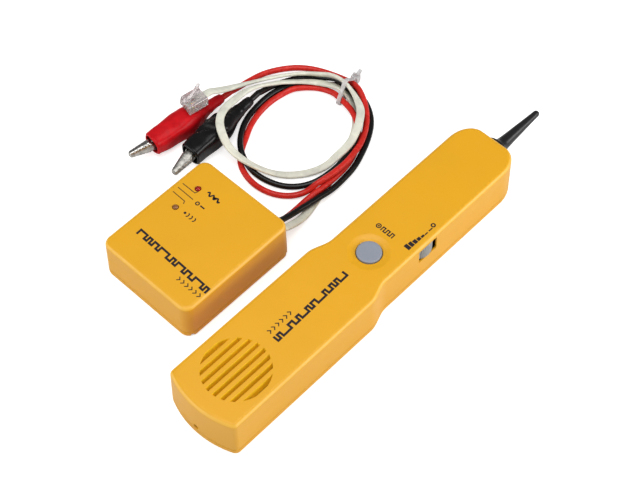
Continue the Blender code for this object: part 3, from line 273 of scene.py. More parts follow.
def lens(name, color, weight):
    """Tinted epoxy lamp body, unevenly dark."""
    mat = new_shader(name)
    swirl = mat.noise(mat.coords(), scale=0.9, detail=2.0, rough=0.4, distort=0.5)
    mat.set({"Base Color": mat.ramp(swirl, shade(color, 0.65), shade(color, 1.2)),
             "Roughness": mat.span(swirl, 0.10, 0.22), "Transmission Weight": weight})
    mat.bump(swirl, 0.03, strength=0.3)
    return mat.owner


# material for each slot name of the CAD record
mats = {
    # yellow shell: its lighter colour on the rounded edges is a painted highlight
    "yellow_shell": moulded("yellow_abs", (0.800, 0.392, 0.008), rough=0.36, grain=0.30,
                            height=0.007, mottle=0.018, spec=0.42, highlight_color=(0.93, 0.56, 0.10)),
    "grey_button": moulded("grey_cap", (0.270, 0.295, 0.350), rough=0.45, grain=0.28, mottle=0.04),
    "grey_wheel": moulded("grey_wheel", (0.36, 0.37, 0.37), rough=0.48, grain=0.25, mottle=0.06),
    "black_probe": moulded("black_probe", (0.007, 0.0065, 0.0075), rough=0.30, grain=0.30,
                           mottle=0.10, spec=0.55),
    "ferrite": moulded("ferrite", (0.050, 0.046, 0.042), rough=0.62, grain=0.20, height=0.03,
                       mottle=0.15),
    "board_green": board("board_mask"),
    "battery_case": jacket("battery_jacket", axis="X", side="GREATER_THAN", seam=-75.0),
    "black_plastic": moulded("black_moulding", (0.010, 0.010, 0.011), rough=0.45, grain=0.25,
                             mottle=0.12),
    "steel": metal("nickel", (0.60, 0.585, 0.555), rough=0.24),
    "speaker_frame": metal("speaker_pressing", (0.42, 0.42, 0.43), rough=0.35),
    "speaker_paper": paper("speaker_pulp", (0.060, 0.050, 0.042)),
    "capacitor_sleeve": moulded("capacitor_sleeve", (0.020, 0.040, 0.13), rough=0.30, grain=0.5,
                                height=0.008, mottle=0.05),
    "red_lens": lens("lamp_red", (0.60, 0.012, 0.014), weight=0.45),
    "amber_lens": lens("lamp_amber", (0.42, 0.17, 0.055), weight=0.30),
    "red_vinyl": vinyl("boot_red", (0.57, 0.0065, 0.0115), rough=0.32, spec=0.14),
    "black_vinyl": vinyl("boot_black", (0.0045, 0.0044, 0.0050), rough=0.25, spec=0.26),
    "ivory_vinyl": vinyl("cable_ivory", (0.76, 0.76, 0.65), rough=0.36, spec=0.32, wrinkle=0.02),
    "clear_plastic": clear("polycarbonate", (0.99, 0.94, 0.94), rough=0.06, weight=0.74),
    "gold_contact": metal("gold_flash", (0.86, 0.60, 0.24), rough=0.22, dark=0.8),
    "clear_nylon": clear("nylon", (0.96, 0.94, 0.94), rough=0.28, weight=0.60, ior=1.53,
                         grain=0.03),
}
wire_red = vinyl("wire_red", (0.66, 0.024, 0.017), rough=0.25, spec=0.28, wrinkle=0.03)
wire_black = vinyl("wire_black", (0.0045, 0.0042, 0.0046), rough=0.22, spec=0.34, wrinkle=0.03)
print_ink = ink("print_ink", (0.012, 0.007, 0.010))
battery_y = jacket("battery_jacket_y", axis="Y", side="LESS_THAN", seam=84.0)


# ================================================================ mesh helpers
def shift(x, y, z=0.0):
    return Matrix.Translation((x, y, z))


def turn(degrees, axis):
    return Matrix.Rotation(math.radians(degrees), 4, axis)


def tidy(mesh, weld, thin):
    """Weld near vertices, drop slivers and turn the faces outwards."""
    bm = bmesh.new()
    bm.from_mesh(mesh)
    bmesh.ops.remove_doubles(bm, verts=bm.verts, dist=weld)
    bmesh.ops.dissolve_degenerate(bm, edges=bm.edges, dist=thin)
    bmesh.ops.recalc_face_normals(bm, faces=bm.faces)
    bm.to_mesh(mesh)
    bm.free()


def link_new(name, mesh):
    obj = bpy.data.objects.new(name, mesh)
    scene.collection.objects.link(obj)
    return obj


def raw(name, part, matrix=None):
    """Unscaled mesh object from a (vertices, faces) part."""
    mesh = bpy.data.meshes.new(name)
    verts = part[0] if matrix is None else moved(part, matrix)[0]
    mesh.from_pydata([tuple(p) for p in verts], [], [tuple(f) for f in part[1]])
    tidy(mesh, weld=1e-4, thin=1e-5)
    return link_new(name, mesh)


def bake(obj):
    """Turn an object's modifiers into its mesh."""
    graph = bpy.context.evaluated_depsgraph_get()
    graph.update()
    mesh = bpy.data.meshes.new_from_object(obj.evaluated_get(graph))
    tidy(mesh, weld=1e-3, thin=1e-4)
    old = obj.data
    obj.modifiers.clear()
    obj.data = mesh
    bpy.data.meshes.remove(old)


def size_of(mesh):
    """Volume of a mesh, and how many of its edges are not shared by exactly two faces."""
    bm = bmesh.new()
    bm.from_mesh(mesh)
    size = bm.calc_volume(), sum(1 for e in bm.edges if len(e.link_faces) != 2)
    bm.free()
    return size


CARVE_TRIES = 6


def carve(obj, part, operation="DIFFERENCE"):
    """Boolean the part into obj; a cut that goes wrong is made again from a hair to the side."""
    start = obj.data
    volume = size_of(start)[0]
    best = None
    for k in range(CARVE_TRIES):
        obj.data = start.copy()
        cutter = raw("cut", part, shift(0.0041 * k, -0.0033 * k, 0.0027 * k))
        cut_mesh = cutter.data
        reach = size_of(cut_mesh)[0] * 1.02
        modifier = obj.modifiers.new("carve", "BOOLEAN")
        modifier.operation = operation
        modifier.solver = "EXACT"
        modifier.object = cutter
        bake(obj)
        bpy.data.objects.remove(cutter, do_unlink=True)
        bpy.data.meshes.remove(cut_mesh)
        new_volume, open_edges = size_of(obj.data)
        if operation == "DIFFERENCE":
            good = volume - reach - 1.0 <= new_volume <= volume + 1.0
        else:
            good = volume - 1.0 <= new_volume <= volume + reach + 1.0
        if good and (best is None or open_edges < best[0]):
            best = (open_edges, obj.data)
        if good and open_edges == 0:
            break
    if best is None:
        raise SystemExit("a cut failed on " + obj.name)
    obj.data = best[1]
    bpy.data.meshes.remove(start)


def finish(obj, body, slot=None, node=None, mat=None, angle=32.0, weighted=True):
    """Scale to metres, shade, paint, and hand the piece to its body; node is what it replaces."""
    obj.data.transform(Matrix.Diagonal((MM, MM, MM, 1.0)))
    obj.data.shade_smooth()
    obj.data.set_sharp_from_angle(angle=math.radians(angle))
    if weighted:
        modifier = obj.modifiers.new("normals", "WEIGHTED_NORMAL")
        modifier.keep_sharp = True
        modifier.weight = 80
    obj.data.materials.clear()
    obj.data.materials.append(mat or mats[slot])
    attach(obj, body)
    if node:
        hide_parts(node)
    return obj


def add(name, part, body, slot=None, node=None, matrix=None, **look):
    """Make and finish a piece that needs no carving."""
    return finish(raw(name, part, matrix), body, slot, node, **look)


def loft(rings, caps=True, closed=False):
    """Skin over rings of equal count; closed joins the last ring to the first."""
    n = len(rings[0])
    verts = [tuple(p) for ring_points in rings for p in ring_points]
    faces = []
    for k in range(len(rings) if closed else len(rings) - 1):
        low, high = k * n, ((k + 1) % len(rings)) * n
        for i in range(n):
            j = (i + 1) % n
            faces.append((low + i, low + j, high + j, high + i))
    if caps and not closed:
        faces.append(tuple(range(n))[::-1])
        faces.append(tuple(range((len(rings) - 1) * n, len(rings) * n)))
    return verts, faces


def moved(part, matrix):
    return [tuple(matrix @ Vector(p)) for p in part[0]], part[1]


def disc(x, y, radius, count):
    angles = [2 * math.pi * i / count for i in range(count)]
    return [(x + radius * math.cos(a), y + radius * math.sin(a)) for a in angles]


def lathe(profile, count, closed=False):
    """Profile of (radius, z) turned about Z; open profiles start and end on the axis."""
    rings = [[(x, y, z) for x, y in disc(0, 0, radius, count)] for radius, z in profile]
    return loft(rings, caps=False, closed=closed)


def dome(radius, base, height, steps):
    """Rest of a profile from its rim at base up to the axis."""
    angles = [math.radians(90.0 * k / steps) for k in range(1, steps + 1)]
    points = [(radius * math.cos(a), base + height * math.sin(a)) for a in angles]
    points[-1] = (0.0, points[-1][1])
    return points


def directions(points):
    """Unit tangents along a row of points."""
    tangent = np.gradient(points, axis=0)
    tangent /= np.linalg.norm(tangent, axis=1)[:, None]
    return tangent


def shrink(outline, inset):
    """Offset a counter-clockwise outline inwards."""
    p = np.array(outline, float)
    before = p - np.roll(p, 1, axis=0)
    after = np.roll(p, -1, axis=0) - p
    normals = [np.stack([-e[:, 1], e[:, 0]], 1) / np.linalg.norm(e, axis=1)[:, None]
               for e in (before, after)]
    bisector = normals[0] + normals[1]
    bisector /= np.linalg.norm(bisector, axis=1)[:, None]
    mitre = 1.0 / np.clip((bisector * normals[0]).sum(1), 0.5, 1.0)
    return [tuple(q) for q in p + bisector * (inset * mitre)[:, None]]


def ring(outline, inset, z):
    return [(x, y, z) for x, y in (shrink(outline, inset) if abs(inset) > 1e-9 else outline)]


def prism(outline, levels, matrix=None):
    """Outline lofted through (height, outward offset) levels."""
    part = loft([ring(outline, -grow, z) for z, grow in levels])
    return part if matrix is None else moved(part, matrix)


def round_rect(x0, x1, y0, y1, radius, count):
    """Counter-clockwise outline with count points on each corner."""
    outline = []
    for x, y, start in ((x1 - radius, y0 + radius, -90), (x1 - radius, y1 - radius, 0),
                        (x0 + radius, y1 - radius, 90), (x0 + radius, y0 + radius, 180)):
        for i in range(count):
            angle = math.radians(start + 90.0 * i / (count - 1))
            outline.append((x + radius * math.cos(angle), y + radius * math.sin(angle)))
    return outline


def block(x0, x1, y0, y1, z0, z1, bevel=0.0, segments=2):
    bm = bmesh.new()
    matrix = (shift((x0 + x1) / 2, (y0 + y1) / 2, (z0 + z1) / 2)
              @ Matrix.Diagonal((x1 - x0, y1 - y0, z1 - z0, 1.0)))
    bmesh.ops.create_cube(bm, size=1.0, matrix=matrix)
    if bevel:
        bmesh.ops.bevel(bm, geom=list(bm.edges), offset=bevel, segments=segments, profile=0.5,
                        affect="EDGES", clamp_overlap=True)
    bm.verts.index_update()
    part = ([tuple(v.co) for v in bm.verts], [tuple(v.index for v in f.verts) for f in bm.faces])
    bm.free()
    return part


# faces of a wall: local x runs along the wall, y up, z outwards to -Y, +Y or +X
WALL_MY = Matrix(((1, 0, 0, 0), (0, 0, -1, 0), (0, 1, 0, 0), (0, 0, 0, 1)))
WALL_PY = Matrix(((-1, 0, 0, 0), (0, 0, 1, 0), (0, 1, 0, 0), (0, 0, 0, 1)))
WALL_PX = Matrix(((0, 0, 1, 0), (1, 0, 0, 0), (0, 1, 0, 0), (0, 0, 0, 1)))


# ================================================================ housings
rx_lo, rx_hi = cad("rx_top_shell")
RX_TOP, RX_SPLIT = rx_hi.z, rx_lo.z
RX_BACK, RX_TIP = rx_lo.x, rx_hi.x
RX_WIDE = rx_hi.y          # half width of the body
RX_SLIM = 19.2             # half width of the neck
RX_FLANK = RX_SLIM - 0.2   # neck wall at the height of the wheel
tx_lo, tx_hi = cad("tx_top_shell")
TX_TOP, TX_SPLIT = tx_hi.z, tx_lo.z
TX_X, TX_Y = centre("tx_top_shell")
TX_HALF_X, TX_HALF_Y = (tx_hi.x - tx_lo.x) / 2, (tx_hi.y - tx_lo.y) / 2
TX_END, TX_SIDE = TX_X + TX_HALF_X, TX_Y + TX_HALF_Y

WALL = 2.0
REBATE = 0.9       # depth of the step inside the cover's rim
TONGUE = 1.1       # inset of the back cover's tongue
BACK_EDGE = 1.1    # rounding of the back cover's lower edge

GRILLE_X, GRILLE_Y, GRILLE_R = -128.8, -0.4, 17.8
GRILLE_PITCH, GRILLE_SLOT, GRILLE_COUNT = 4.5, 2.2, 8
BUTTON_R = 6.65
BUTTON_AT = shift(*centre("rx_test_button"))
WHEEL_X, WHEEL_Y = centre("rx_volume_wheel")
wheel_lo, wheel_hi = cad("rx_volume_wheel")
WHEEL_R = (wheel_hi.x - wheel_lo.x) / 2
probe_lo, probe_hi = cad("rx_probe_tip")
PROBE_Z, PROBE_END = (probe_lo.z + probe_hi.z) / 2, probe_hi.x
PROBE_AXIS = shift(0, 0, PROBE_Z) @ turn(90, "Y")


def receiver_plan():
    """Bowed tail, rounded shoulders, straight body, eased neck and elliptical nose."""
    half = []
    bow = 52.8
    for k in range(16):
        y = 20.9 * k / 15.0
        half.append((RX_BACK + bow - math.sqrt(bow * bow - y * y), y))
    shoulder = 3.5
    for degrees in range(142, 89, -6):
        angle = math.radians(degrees)
        half.append((-149.8 + shoulder * math.cos(angle),
                     RX_WIDE - shoulder + shoulder * math.sin(angle)))
    half += [(x, RX_WIDE) for x in (-130, -110, -90, -72)]
    for k in range(21):
        s = k / 20.0
        ease_in = 0.5 - 0.5 * math.cos(math.pi * s)
        half.append((-56.0 + 15.5 * s, RX_WIDE - (RX_WIDE - RX_SLIM) * ease_in))
    half += [(x, RX_SLIM) for x in (-24, -4, 16, 34)]
    nose_x, nose_y = 50.0, 8.0
    for k in range(25):
        angle = math.radians(90 - 87.5 * k / 24.0)
        half.append((nose_x + (RX_TIP - nose_x) * math.cos(angle) ** 0.96,
                     nose_y + (RX_SLIM - nose_y) * math.sin(angle)))
    half.append((RX_TIP, 4.0))
    return [(x, -y) for x, y in half] + half[:0:-1]


def cover(plan, rim, top, fillet, draft):
    """Hollow cover with a rebated rim, drafted walls and a rolled top edge."""
    rings = [ring(plan, inset, z) for inset, z in (
        (WALL + draft + 0.1, top - WALL - 0.1), (WALL, rim + 1.6), (REBATE, rim + 1.6),
        (REBATE, rim), (0.16, rim), (0.03, rim + 0.06), (0.0, rim + 0.2))]
    for k in range(1, 5):
        s = k / 5
        rings.append(ring(plan, draft * s, rim + 0.2 + (top - fillet - rim - 0.2) * s))
    for k in range(10):
        angle = math.radians(10.0 * k)
        rings.append(ring(plan, draft + fillet * (1 - math.cos(angle)),
                          top - fillet + fillet * math.sin(angle)))
    return loft(rings)


def tray(plan, split):
    """Back cover: rounded bottom edge and a tongue inside the rim."""
    top = split - 0.3
    rings = []
    for k in range(7):
        angle = math.radians(15.0 * k)
        rings.append(ring(plan, BACK_EDGE * (1 - math.sin(angle)),
                          BACK_EDGE * (1 - math.cos(angle))))
    rings += [ring(plan, inset, z) for inset, z in (
        (0.0, top - 0.18), (0.04, top - 0.05), (0.16, top), (TONGUE, top),
        (TONGUE, split + 1.3), (1.9, split + 1.3), (1.9, top))]
    return loft(rings)


def slot_outline(k, narrow, grow):
    """Grille slot k, narrowed about its middle and opened all round by grow."""
    radius = GRILLE_R + grow
    across = (k - 3.5) * GRILLE_PITCH
    low, high = across - GRILLE_SLOT / 2, across + GRILLE_SLOT / 2
    count = 5
    if abs(across) > 15:
        low, high = (14.6, 17.4) if across > 0 else (-17.4, -14.6)
        count = 9
    mid, half = (low + high) / 2, (high - low) / 2
    steps = [2 * i / (count - 1.0) - 1 for i in range(count)]
    rows = [mid + half * narrow * u + grow * u for u in steps]
    right = [(math.sqrt(max(radius * radius - y * y, 0.2)), y) for y in rows]
    left = [(-x, y) for x, y in right[::-1]]
    return [(x + GRILLE_X, y + GRILLE_Y) for x, y in right + left]


def carve_grille(shell):
    """Thick round pad inside the top, cut through by the slots."""
    pad = prism(disc(GRILLE_X, GRILLE_Y, 19.6, 48), [(RX_TOP - 4.5, 0), (RX_TOP - 1.2, 0)])
    carve(shell, pad, operation="UNION")
    for k in range(GRILLE_COUNT):
        waist = 0.5 if k in (0, GRILLE_COUNT - 1) else 0.55
        # height over the top, narrowing, opening
        levels = ((-6.0, waist, -0.3), (-4.2, waist, -0.3), (-0.2, 1.0, 0.0),
                  (-0.05, 1.0, 0.06), (0.5, 1.0, 0.3))
        carve(shell, loft([[(x, y, RX_TOP + z) for x, y in slot_outline(k, narrow, grow)]
                           for z, narrow, grow in levels]))


def carve_button_seat(shell):
    """Shallow dish with a hole through its middle."""
    floor_r, rim_width, floor_z = 7.2, 4.6, RX_TOP - 0.70
    dish = [(0, floor_z), (floor_r, floor_z)]
    for k in range(1, 9):
        s = k / 8.0
        dish.append((floor_r + rim_width * s,
                     floor_z + 0.72 * (0.5 - 0.5 * math.cos(math.pi * s)) ** 1.05))
    dish += [(12.6, RX_TOP + 1.5), (0, RX_TOP + 1.5)]
    carve(shell, moved(lathe(dish, 72), BUTTON_AT))
    hole = [(0, -5), (7.02, -5), (7.02, -0.86), (7.1, -0.75), (7.25, -0.68), (7.3, 1), (0, 1)]
    carve(shell, moved(lathe([(r, RX_TOP + z) for r, z in hole], 72), BUTTON_AT))


def receiver_cover(plan):
    shell = raw("receiver_cover", cover(plan, RX_SPLIT, RX_TOP, fillet=2.2, draft=0.45))
    # window in the -Y wall for the wheel, and a pocket behind it
    carve(shell, prism(round_rect(-15.9, -2.4, 15.2, 24.4, 0.3, 4),
                       [(RX_FLANK - 4.5, 0.0), (RX_FLANK - 0.12, 0.0), (RX_FLANK + 0.9, 0.5)],
                       WALL_MY))
    carve(shell, block(-18.9, 0.6, -18.05, -13.0, 12.6, 24.8))
    # bore for the probe, and a small round hole in the tail
    bore = [(0, -6), (5.3, -6), (5.3, -0.5), (5.7, -0.1), (6.6, 1), (0, 1)]
    carve(shell, moved(lathe([(r, RX_TIP + z) for r, z in bore], 48), PROBE_AXIS))
    tail_hole = [(0, -2), (2.1, -1.0), (1.75, 0.15), (1.6, 0.5), (1.6, 6), (0, 6)]
    carve(shell, moved(lathe(tail_hole, 32), shift(RX_BACK, 0, 6.2) @ turn(90, "Y")))
    carve_grille(shell)
    carve_button_seat(shell)
    finish(shell, RECEIVER, "yellow_shell", "rx_top_shell", angle=28)
    # the walls inside the grille slots catch light from each other, so they are a lighter yellow
    shell.data.materials.append(moulded("grille_slot_wall", (0.93, 0.60, 0.016), rough=0.5))
    for face in shell.data.polygons:
        x, y, z = face.center / MM
        inside = math.hypot(x - GRILLE_X, y - GRILLE_Y) < GRILLE_R + 0.6
        if inside and abs(face.normal.z) < 0.8 and z > RX_TOP - 5.0:
            face.material_index = 1


def back_cover(name, plan, split, body, unit, door_y, inset, bay_y, head, extra=()):
    """Back with a door recess to door_y, a bay through it to bay_y, and screw holes."""
    back = raw(name, tray(plan, split))
    low, high = cad(unit + "_battery_door")
    carve(back, block(low.x - 0.3, high.x + 0.3, low.y - 0.3, door_y, -1, high.z + 0.3))
    carve(back, block(low.x + inset, high.x - inset, low.y + 1.2, bay_y, -2, 8))
    for part in extra:
        carve(back, part)
    hole = [(0, -1), (head + 0.4, -1), (head, 0.3), (head, 2.2), (1.6, 2.2), (1.6, 6), (0, 6)]
    for node in sorted(nodes):
        if node.startswith(unit + "_screw"):
            carve(back, moved(lathe(hole, 32), shift(*centre(node))))
    finish(back, body, "yellow_shell", unit + "_back_shell", angle=28)


LEDS = [centre("tx_tone_led"), centre("tx_cont_led")]
knob_lo, knob_hi = cad("tx_mode_switch_knob")
SWITCH_X, SWITCH_Z = (knob_lo.x + knob_hi.x) / 2, (knob_lo.z + knob_hi.z) / 2


def sender_cover(plan):
    shell = raw("sender_cover", cover(plan, TX_SPLIT, TX_TOP, fillet=2.3, draft=0.4))
    hole = [(0, -5), (1.72, -5), (1.72, -0.3), (1.82, -0.08), (2.0, 0), (2.6, 1), (0, 1)]
    for x, y in LEDS:
        carve(shell, moved(lathe([(r, TX_TOP + z) for r, z in hole], 40), shift(x, y)))
    # slot for the slide switch in the +Y wall
    carve(shell, prism(round_rect(-SWITCH_X - 6.0, -SWITCH_X + 6.0, SWITCH_Z - 2.4,
                                  SWITCH_Z + 2.4, 0.6, 5),
                       [(TX_SIDE - 4.5, 0), (TX_SIDE - 0.55, 0), (TX_SIDE - 0.2, 0.25),
                        (TX_SIDE + 1.5, 1.4)], WALL_PY))
    # opening for the leads in the +X wall
    carve(shell, prism(round_rect(45.9, 58.1, 7.4, 14.8, 1.2, 6),
                       [(TX_END - 4.5, 0), (TX_END - 0.5, 0), (TX_END - 0.15, 0.25),
                        (TX_END + 1.5, 1.4)], WALL_PX))
    finish(shell, SENDER, "yellow_shell", "tx_top_shell", angle=28)


rx_plan = receiver_plan()
tx_plan = round_rect(TX_X - TX_HALF_X, TX_END, TX_Y - TX_HALF_Y, TX_SIDE, 6.0, 14)
receiver_cover(rx_plan)
back_cover("receiver_back", rx_plan, RX_SPLIT, RECEIVER, "rx", door_y=30, inset=2.7, bay_y=15,
           head=2.9, extra=[block(-154.2, -149.0, -2.0, 2.0, -1.0, 8.0)])
sender_cover(tx_plan)
back_cover("sender_back", tx_plan, TX_SPLIT, SENDER, "tx", door_y=TX_Y + 40, inset=1.2,
           bay_y=TX_Y + 27, head=2.8)


# ================================================================ controls
def test_button():
    top, rounding = 27.28, 0.55
    # (radius, z) of stem, flange, rounded cap edge and slightly hollow face
    profile = [(0, 16.4), (2.4, 16.4), (2.4, 22.6), (8.6, 22.6), (8.6, 23.8), (BUTTON_R, 23.8)]
    for k in range(7):
        angle = math.radians(90.0 * k / 6)
        profile.append((BUTTON_R - rounding + rounding * math.cos(angle),
                        top - rounding + rounding * math.sin(angle)))
    profile += [(5.6, 27.30), (4.6, 27.26), (3.0, 27.20), (1.5, 27.17), (0, 27.16)]
    add("test_button_cap", lathe(profile, 72), "test_button", "grey_button", "rx_test_button",
        matrix=BUTTON_AT, angle=40)


def volume_wheel():
    """Wheel with grooves round its edge, bored from below."""
    teeth, steps = 44, 8
    # z, radius, depth of the grooves as a share of the full depth
    levels = ((13.2, 6.30, 0.0), (13.35, 6.5, 0.0), (15.30, 6.5, 0.0), (15.36, 7.6, 0.3),
              (15.42, WHEEL_R - 0.35, 0.6), (15.7, WHEEL_R - 0.08, 1.0), (16.0, WHEEL_R, 1.0),
              (23.5, WHEEL_R, 1.0), (23.85, WHEEL_R - 0.1, 1.0), (24.1, WHEEL_R - 0.4, 0.6),
              (24.2, WHEEL_R - 0.8, 0.0))
    groove = 0.42
    rings = []
    for z, radius, share in levels:
        points = []
        for i in range(teeth * steps):
            angle = 2 * math.pi * i / (teeth * steps)
            dip = 0.5 + 0.5 * math.cos(2 * math.pi * i / steps)
            reach = radius - groove * share * dip ** 2.0
            points.append((reach * math.cos(angle) + WHEEL_X,
                           reach * math.sin(angle) + WHEEL_Y, z))
        rings.append(points)
    wheel = raw("volume_wheel_ribbed", loft(rings))
    bore = [(0, 10), (5.95, 10), (5.95, 15.0), (2.3, 15.1), (2.3, 21), (0, 21)]
    carve(wheel, moved(lathe(bore, 48), shift(WHEEL_X, WHEEL_Y)))
    finish(wheel, "volume_wheel", "grey_wheel", "rx_volume_wheel", angle=34)


def probe_tip():
    """Collar, waist, long taper and blunt nose, bored from the housing end."""
    nose = PROBE_END - 1.85
    # (radius, x)
    profile = [(1.55, 58.0), (4.9, 58.0), (4.9, 65.95), (7.1, 65.98), (7.38, 66.15), (7.5, 66.5),
               (7.5, 68.85), (7.42, 69.1), (7.15, 69.3), (6.5, 69.62), (5.8, 70.05),
               (5.15, 70.65), (4.6, 71.4), (4.18, 72.3), (3.9, 73.3), (3.70, 74.6), (3.5, 76.8),
               (3.25, 80.0), (2.85, 86.5), (2.42, 93.0), (2.08, 98.5), (1.90, nose)]
    profile += dome(1.87, nose, 1.85, 8) + [(0, 90.0), (1.55, 90.0)]
    add("probe_tip_turned", lathe(profile, 56, closed=True), RECEIVER, "black_probe",
        "rx_probe_tip", matrix=PROBE_AXIS, angle=40)


def lamp(name, x, y, slot, node):
    """Flanged lamp body with a domed end, and a steel block inside."""
    radius, shoulder = 1.5, TX_TOP - 0.35
    profile = [(0, 20.4), (1.9, 20.4), (1.9, 21.4), (radius, 21.45), (radius, shoulder)]
    profile += dome(radius, shoulder, 1.25, 10)
    add(name, lathe(profile, 40), SENDER, slot, node, matrix=shift(x, y), angle=40)
    add(name + "_anvil", block(-0.55, 0.75, -0.5, 0.5, 21.0, TX_TOP - 0.6, 0.12), SENDER, "steel",
        matrix=shift(x, y), angle=40)


def mode_knob():
    """Slide knob with three grooves in its outer face."""
    knob = raw("mode_knob", block(knob_lo.x, knob_hi.x, knob_lo.y, knob_hi.y, knob_lo.z,
                                  knob_hi.z, 0.30, 3))
    for offset in (-1.1, 0.0, 1.1):
        carve(knob, block(SWITCH_X + offset - 0.22, SWITCH_X + offset + 0.22, knob_hi.y - 0.35,
                          knob_hi.y + 0.5, knob_lo.z - 0.5, knob_hi.z + 0.5))
    finish(knob, "mode_switch", "black_plastic", "tx_mode_switch_knob")


test_button()
volume_wheel()
# plates at the two ends of the wheel's pocket, black as painted shade: dark sheets standing in for
# the shadow in the gaps there
for name, x0, x1 in (("wheel_guard", -0.6, 0.4), ("wheel_guard_back", -18.6, -18.0)):
    add(name, block(x0, x1, -17.9, -8.0, 12.8, 24.6, 0.2), RECEIVER, "black_plastic", angle=34)
probe_tip()
lamp("tone_lamp", *LEDS[0], "red_lens", "tx_tone_led")
lamp("cont_lamp", *LEDS[1], "amber_lens", "tx_cont_led")
mode_knob()


# ================================================================ printed marks
# A mark is a list of flat (x, y) outlines.
def stroke(points, width):
    """Line as one quad for each leg, run on by half a width at both ends."""
    quads = []
    for (x0, y0), (x1, y1) in zip(points, points[1:]):
        length = math.hypot(x1 - x0, y1 - y0)
        if length < 1e-6:
            continue
        ux, uy = (x1 - x0) / length, (y1 - y0) / length
        ex, ey = ux * width / 2, uy * width / 2
        px, py = -uy * width / 2, ux * width / 2
        quads.append([(x0 - ex + px, y0 - ey + py), (x0 - ex - px, y0 - ey - py),
                      (x1 + ex - px, y1 + ey - py), (x1 + ex + px, y1 + ey + py)])
    return quads


def band(points, width):
    """One closed ribbon outline along an open smooth line."""
    p = np.array(points, float)
    tangent = directions(p)
    normal = np.stack([-tangent[:, 1], tangent[:, 0]], 1) * (width / 2)
    return [tuple(q) for q in p + normal] + [tuple(q) for q in (p - normal)[::-1]]


def hoop(cx, cy, radius, width):
    """Ring as two half bands."""
    halves = []
    for start in (0, math.pi):
        angles = [start + math.pi * i / 16 for i in range(17)]
        arc = [(cx + radius * math.cos(a), cy + radius * math.sin(a)) for a in angles]
        outer, inner = [[(cx + (x - cx) * k, cy + (y - cy) * k) for x, y in arc]
                        for k in (1 + width / 2 / radius, 1 - width / 2 / radius)]
        halves.append(outer + inner[::-1])
    return halves


def rectangle(x0, x1, y0, y1):
    return [(x0, y0), (x1, y0), (x1, y1), (x0, y1)]


def place(polys, x, y, along=(0, -1), up=(1, 0)):
    """Set local outlines down at (x, y), with the directions their two axes take."""
    return [[(along[0] * a + up[0] * b + x, along[1] * a + up[1] * b + y) for a, b in poly]
            for poly in polys]


def pulses(length, height, width, pattern):
    """Square wave whose level changes after each share of the pattern."""
    total = float(sum(pattern))
    points, a = [(0.0, 0.0)], 0.0
    for k, share in enumerate(pattern):
        level = 0.0 if k % 2 else height
        points.append((a, level))
        a += share / total * length
        points.append((a, level))
    points.append((a, 0.0))
    return stroke(points, width)


def chevrons(foot, point):
    """Row of six arrow heads."""
    marks = []
    for k in range(6):
        a = 1.4 + 2.9 * k
        marks += stroke([(a + foot, 0.0), (a + point, 1.1), (a + foot, 2.2)], 0.55)
    return marks


def clean(polys):
    """Drop zero-length leftovers and make every outline run counter-clockwise."""
    kept = []
    for poly in polys:
        q = [poly[i] for i in range(len(poly)) if math.dist(poly[i], poly[i - 1]) > 1e-4]
        area = sum(q[i - 1][0] * q[i][1] - q[i][0] * q[i - 1][1] for i in range(len(q)))
        if abs(area) > 1e-4:
            kept.append(q if area > 0 else q[::-1])
    return kept


def printed(name, polys, top, body):
    """Thin slab for each outline, in three slightly different heights so none coincide."""
    bm = bmesh.new()
    for k, poly in enumerate(clean(polys)):
        z = top + 0.005 + 0.004 * (k % 3)
        low = [bm.verts.new((x, y, z - 0.03)) for x, y in poly]
        high = [bm.verts.new((x, y, z + 0.03)) for x, y in poly]
        bm.faces.new(low[::-1])
        bm.faces.new(high)
        for i in range(len(poly)):
            j = (i + 1) % len(poly)
            bm.faces.new((low[i], low[j], high[j], high[i]))
    mesh = bpy.data.meshes.new(name)
    bm.to_mesh(mesh)
    bm.free()
    finish(link_new(name, mesh), body, mat=print_ink, weighted=False)


PULSE_TRAIN = pulses(51.0, 2.75, 1.22, [5, 2, 2, 2, 3, 2, 6, 3, 2, 2, 5, 2, 3, 3, 6, 2, 2])


def sender_print():
    marks = []
    # three lines from the switch
    for line in ([(17.3, 27.3), (17.3, 18.4), (19.0, 17.8)], [(13.9, 27.3), (13.7, 16.3)],
                 [(10.2, 27.3), (10.0, 18.6), (8.6, 17.8)]):
        marks += stroke([(TX_X + x, TX_Y + y) for x, y in line], 0.42)
    # three waves
    wave = [(x, 1.15 + 1.0 * math.sin(2 * math.pi * x / 3.0)) for x in np.linspace(0, 9.0, 55)]
    marks += place([band(wave, 0.85)], TX_X + 20.8, TX_Y + 13.7)
    # an open ring and a bar
    marks += place(hoop(1.3, 1.15, 0.95, 0.62) + [rectangle(3.4, 6.4, 0.75, 1.55)],
                   TX_X + 12.4, TX_Y + 13.9)
    # a dot and a row of arcs
    dot_arcs = [disc(0.9, 1.2, 0.75, 20)]
    for x in (2.6, 4.9, 7.2):
        arc = [(x - 0.5 + 1.35 * math.cos(a), 1.2 + 1.35 * math.sin(a))
               for a in np.linspace(-1.15, 1.15, 14)]
        dot_arcs.append(band(arc, 0.62))
    marks += place(dot_arcs, TX_X + 3.8, TX_Y + 13.9)
    marks += place(PULSE_TRAIN, TX_X - 20.5, TX_Y + 21.6, along=(-0.026, -1), up=(1, 0.026))
    marks += place(chevrons(foot=0.0, point=1.1), TX_X - 26.4, TX_Y - 12.2)
    printed("sender_print", marks, TX_TOP, SENDER)


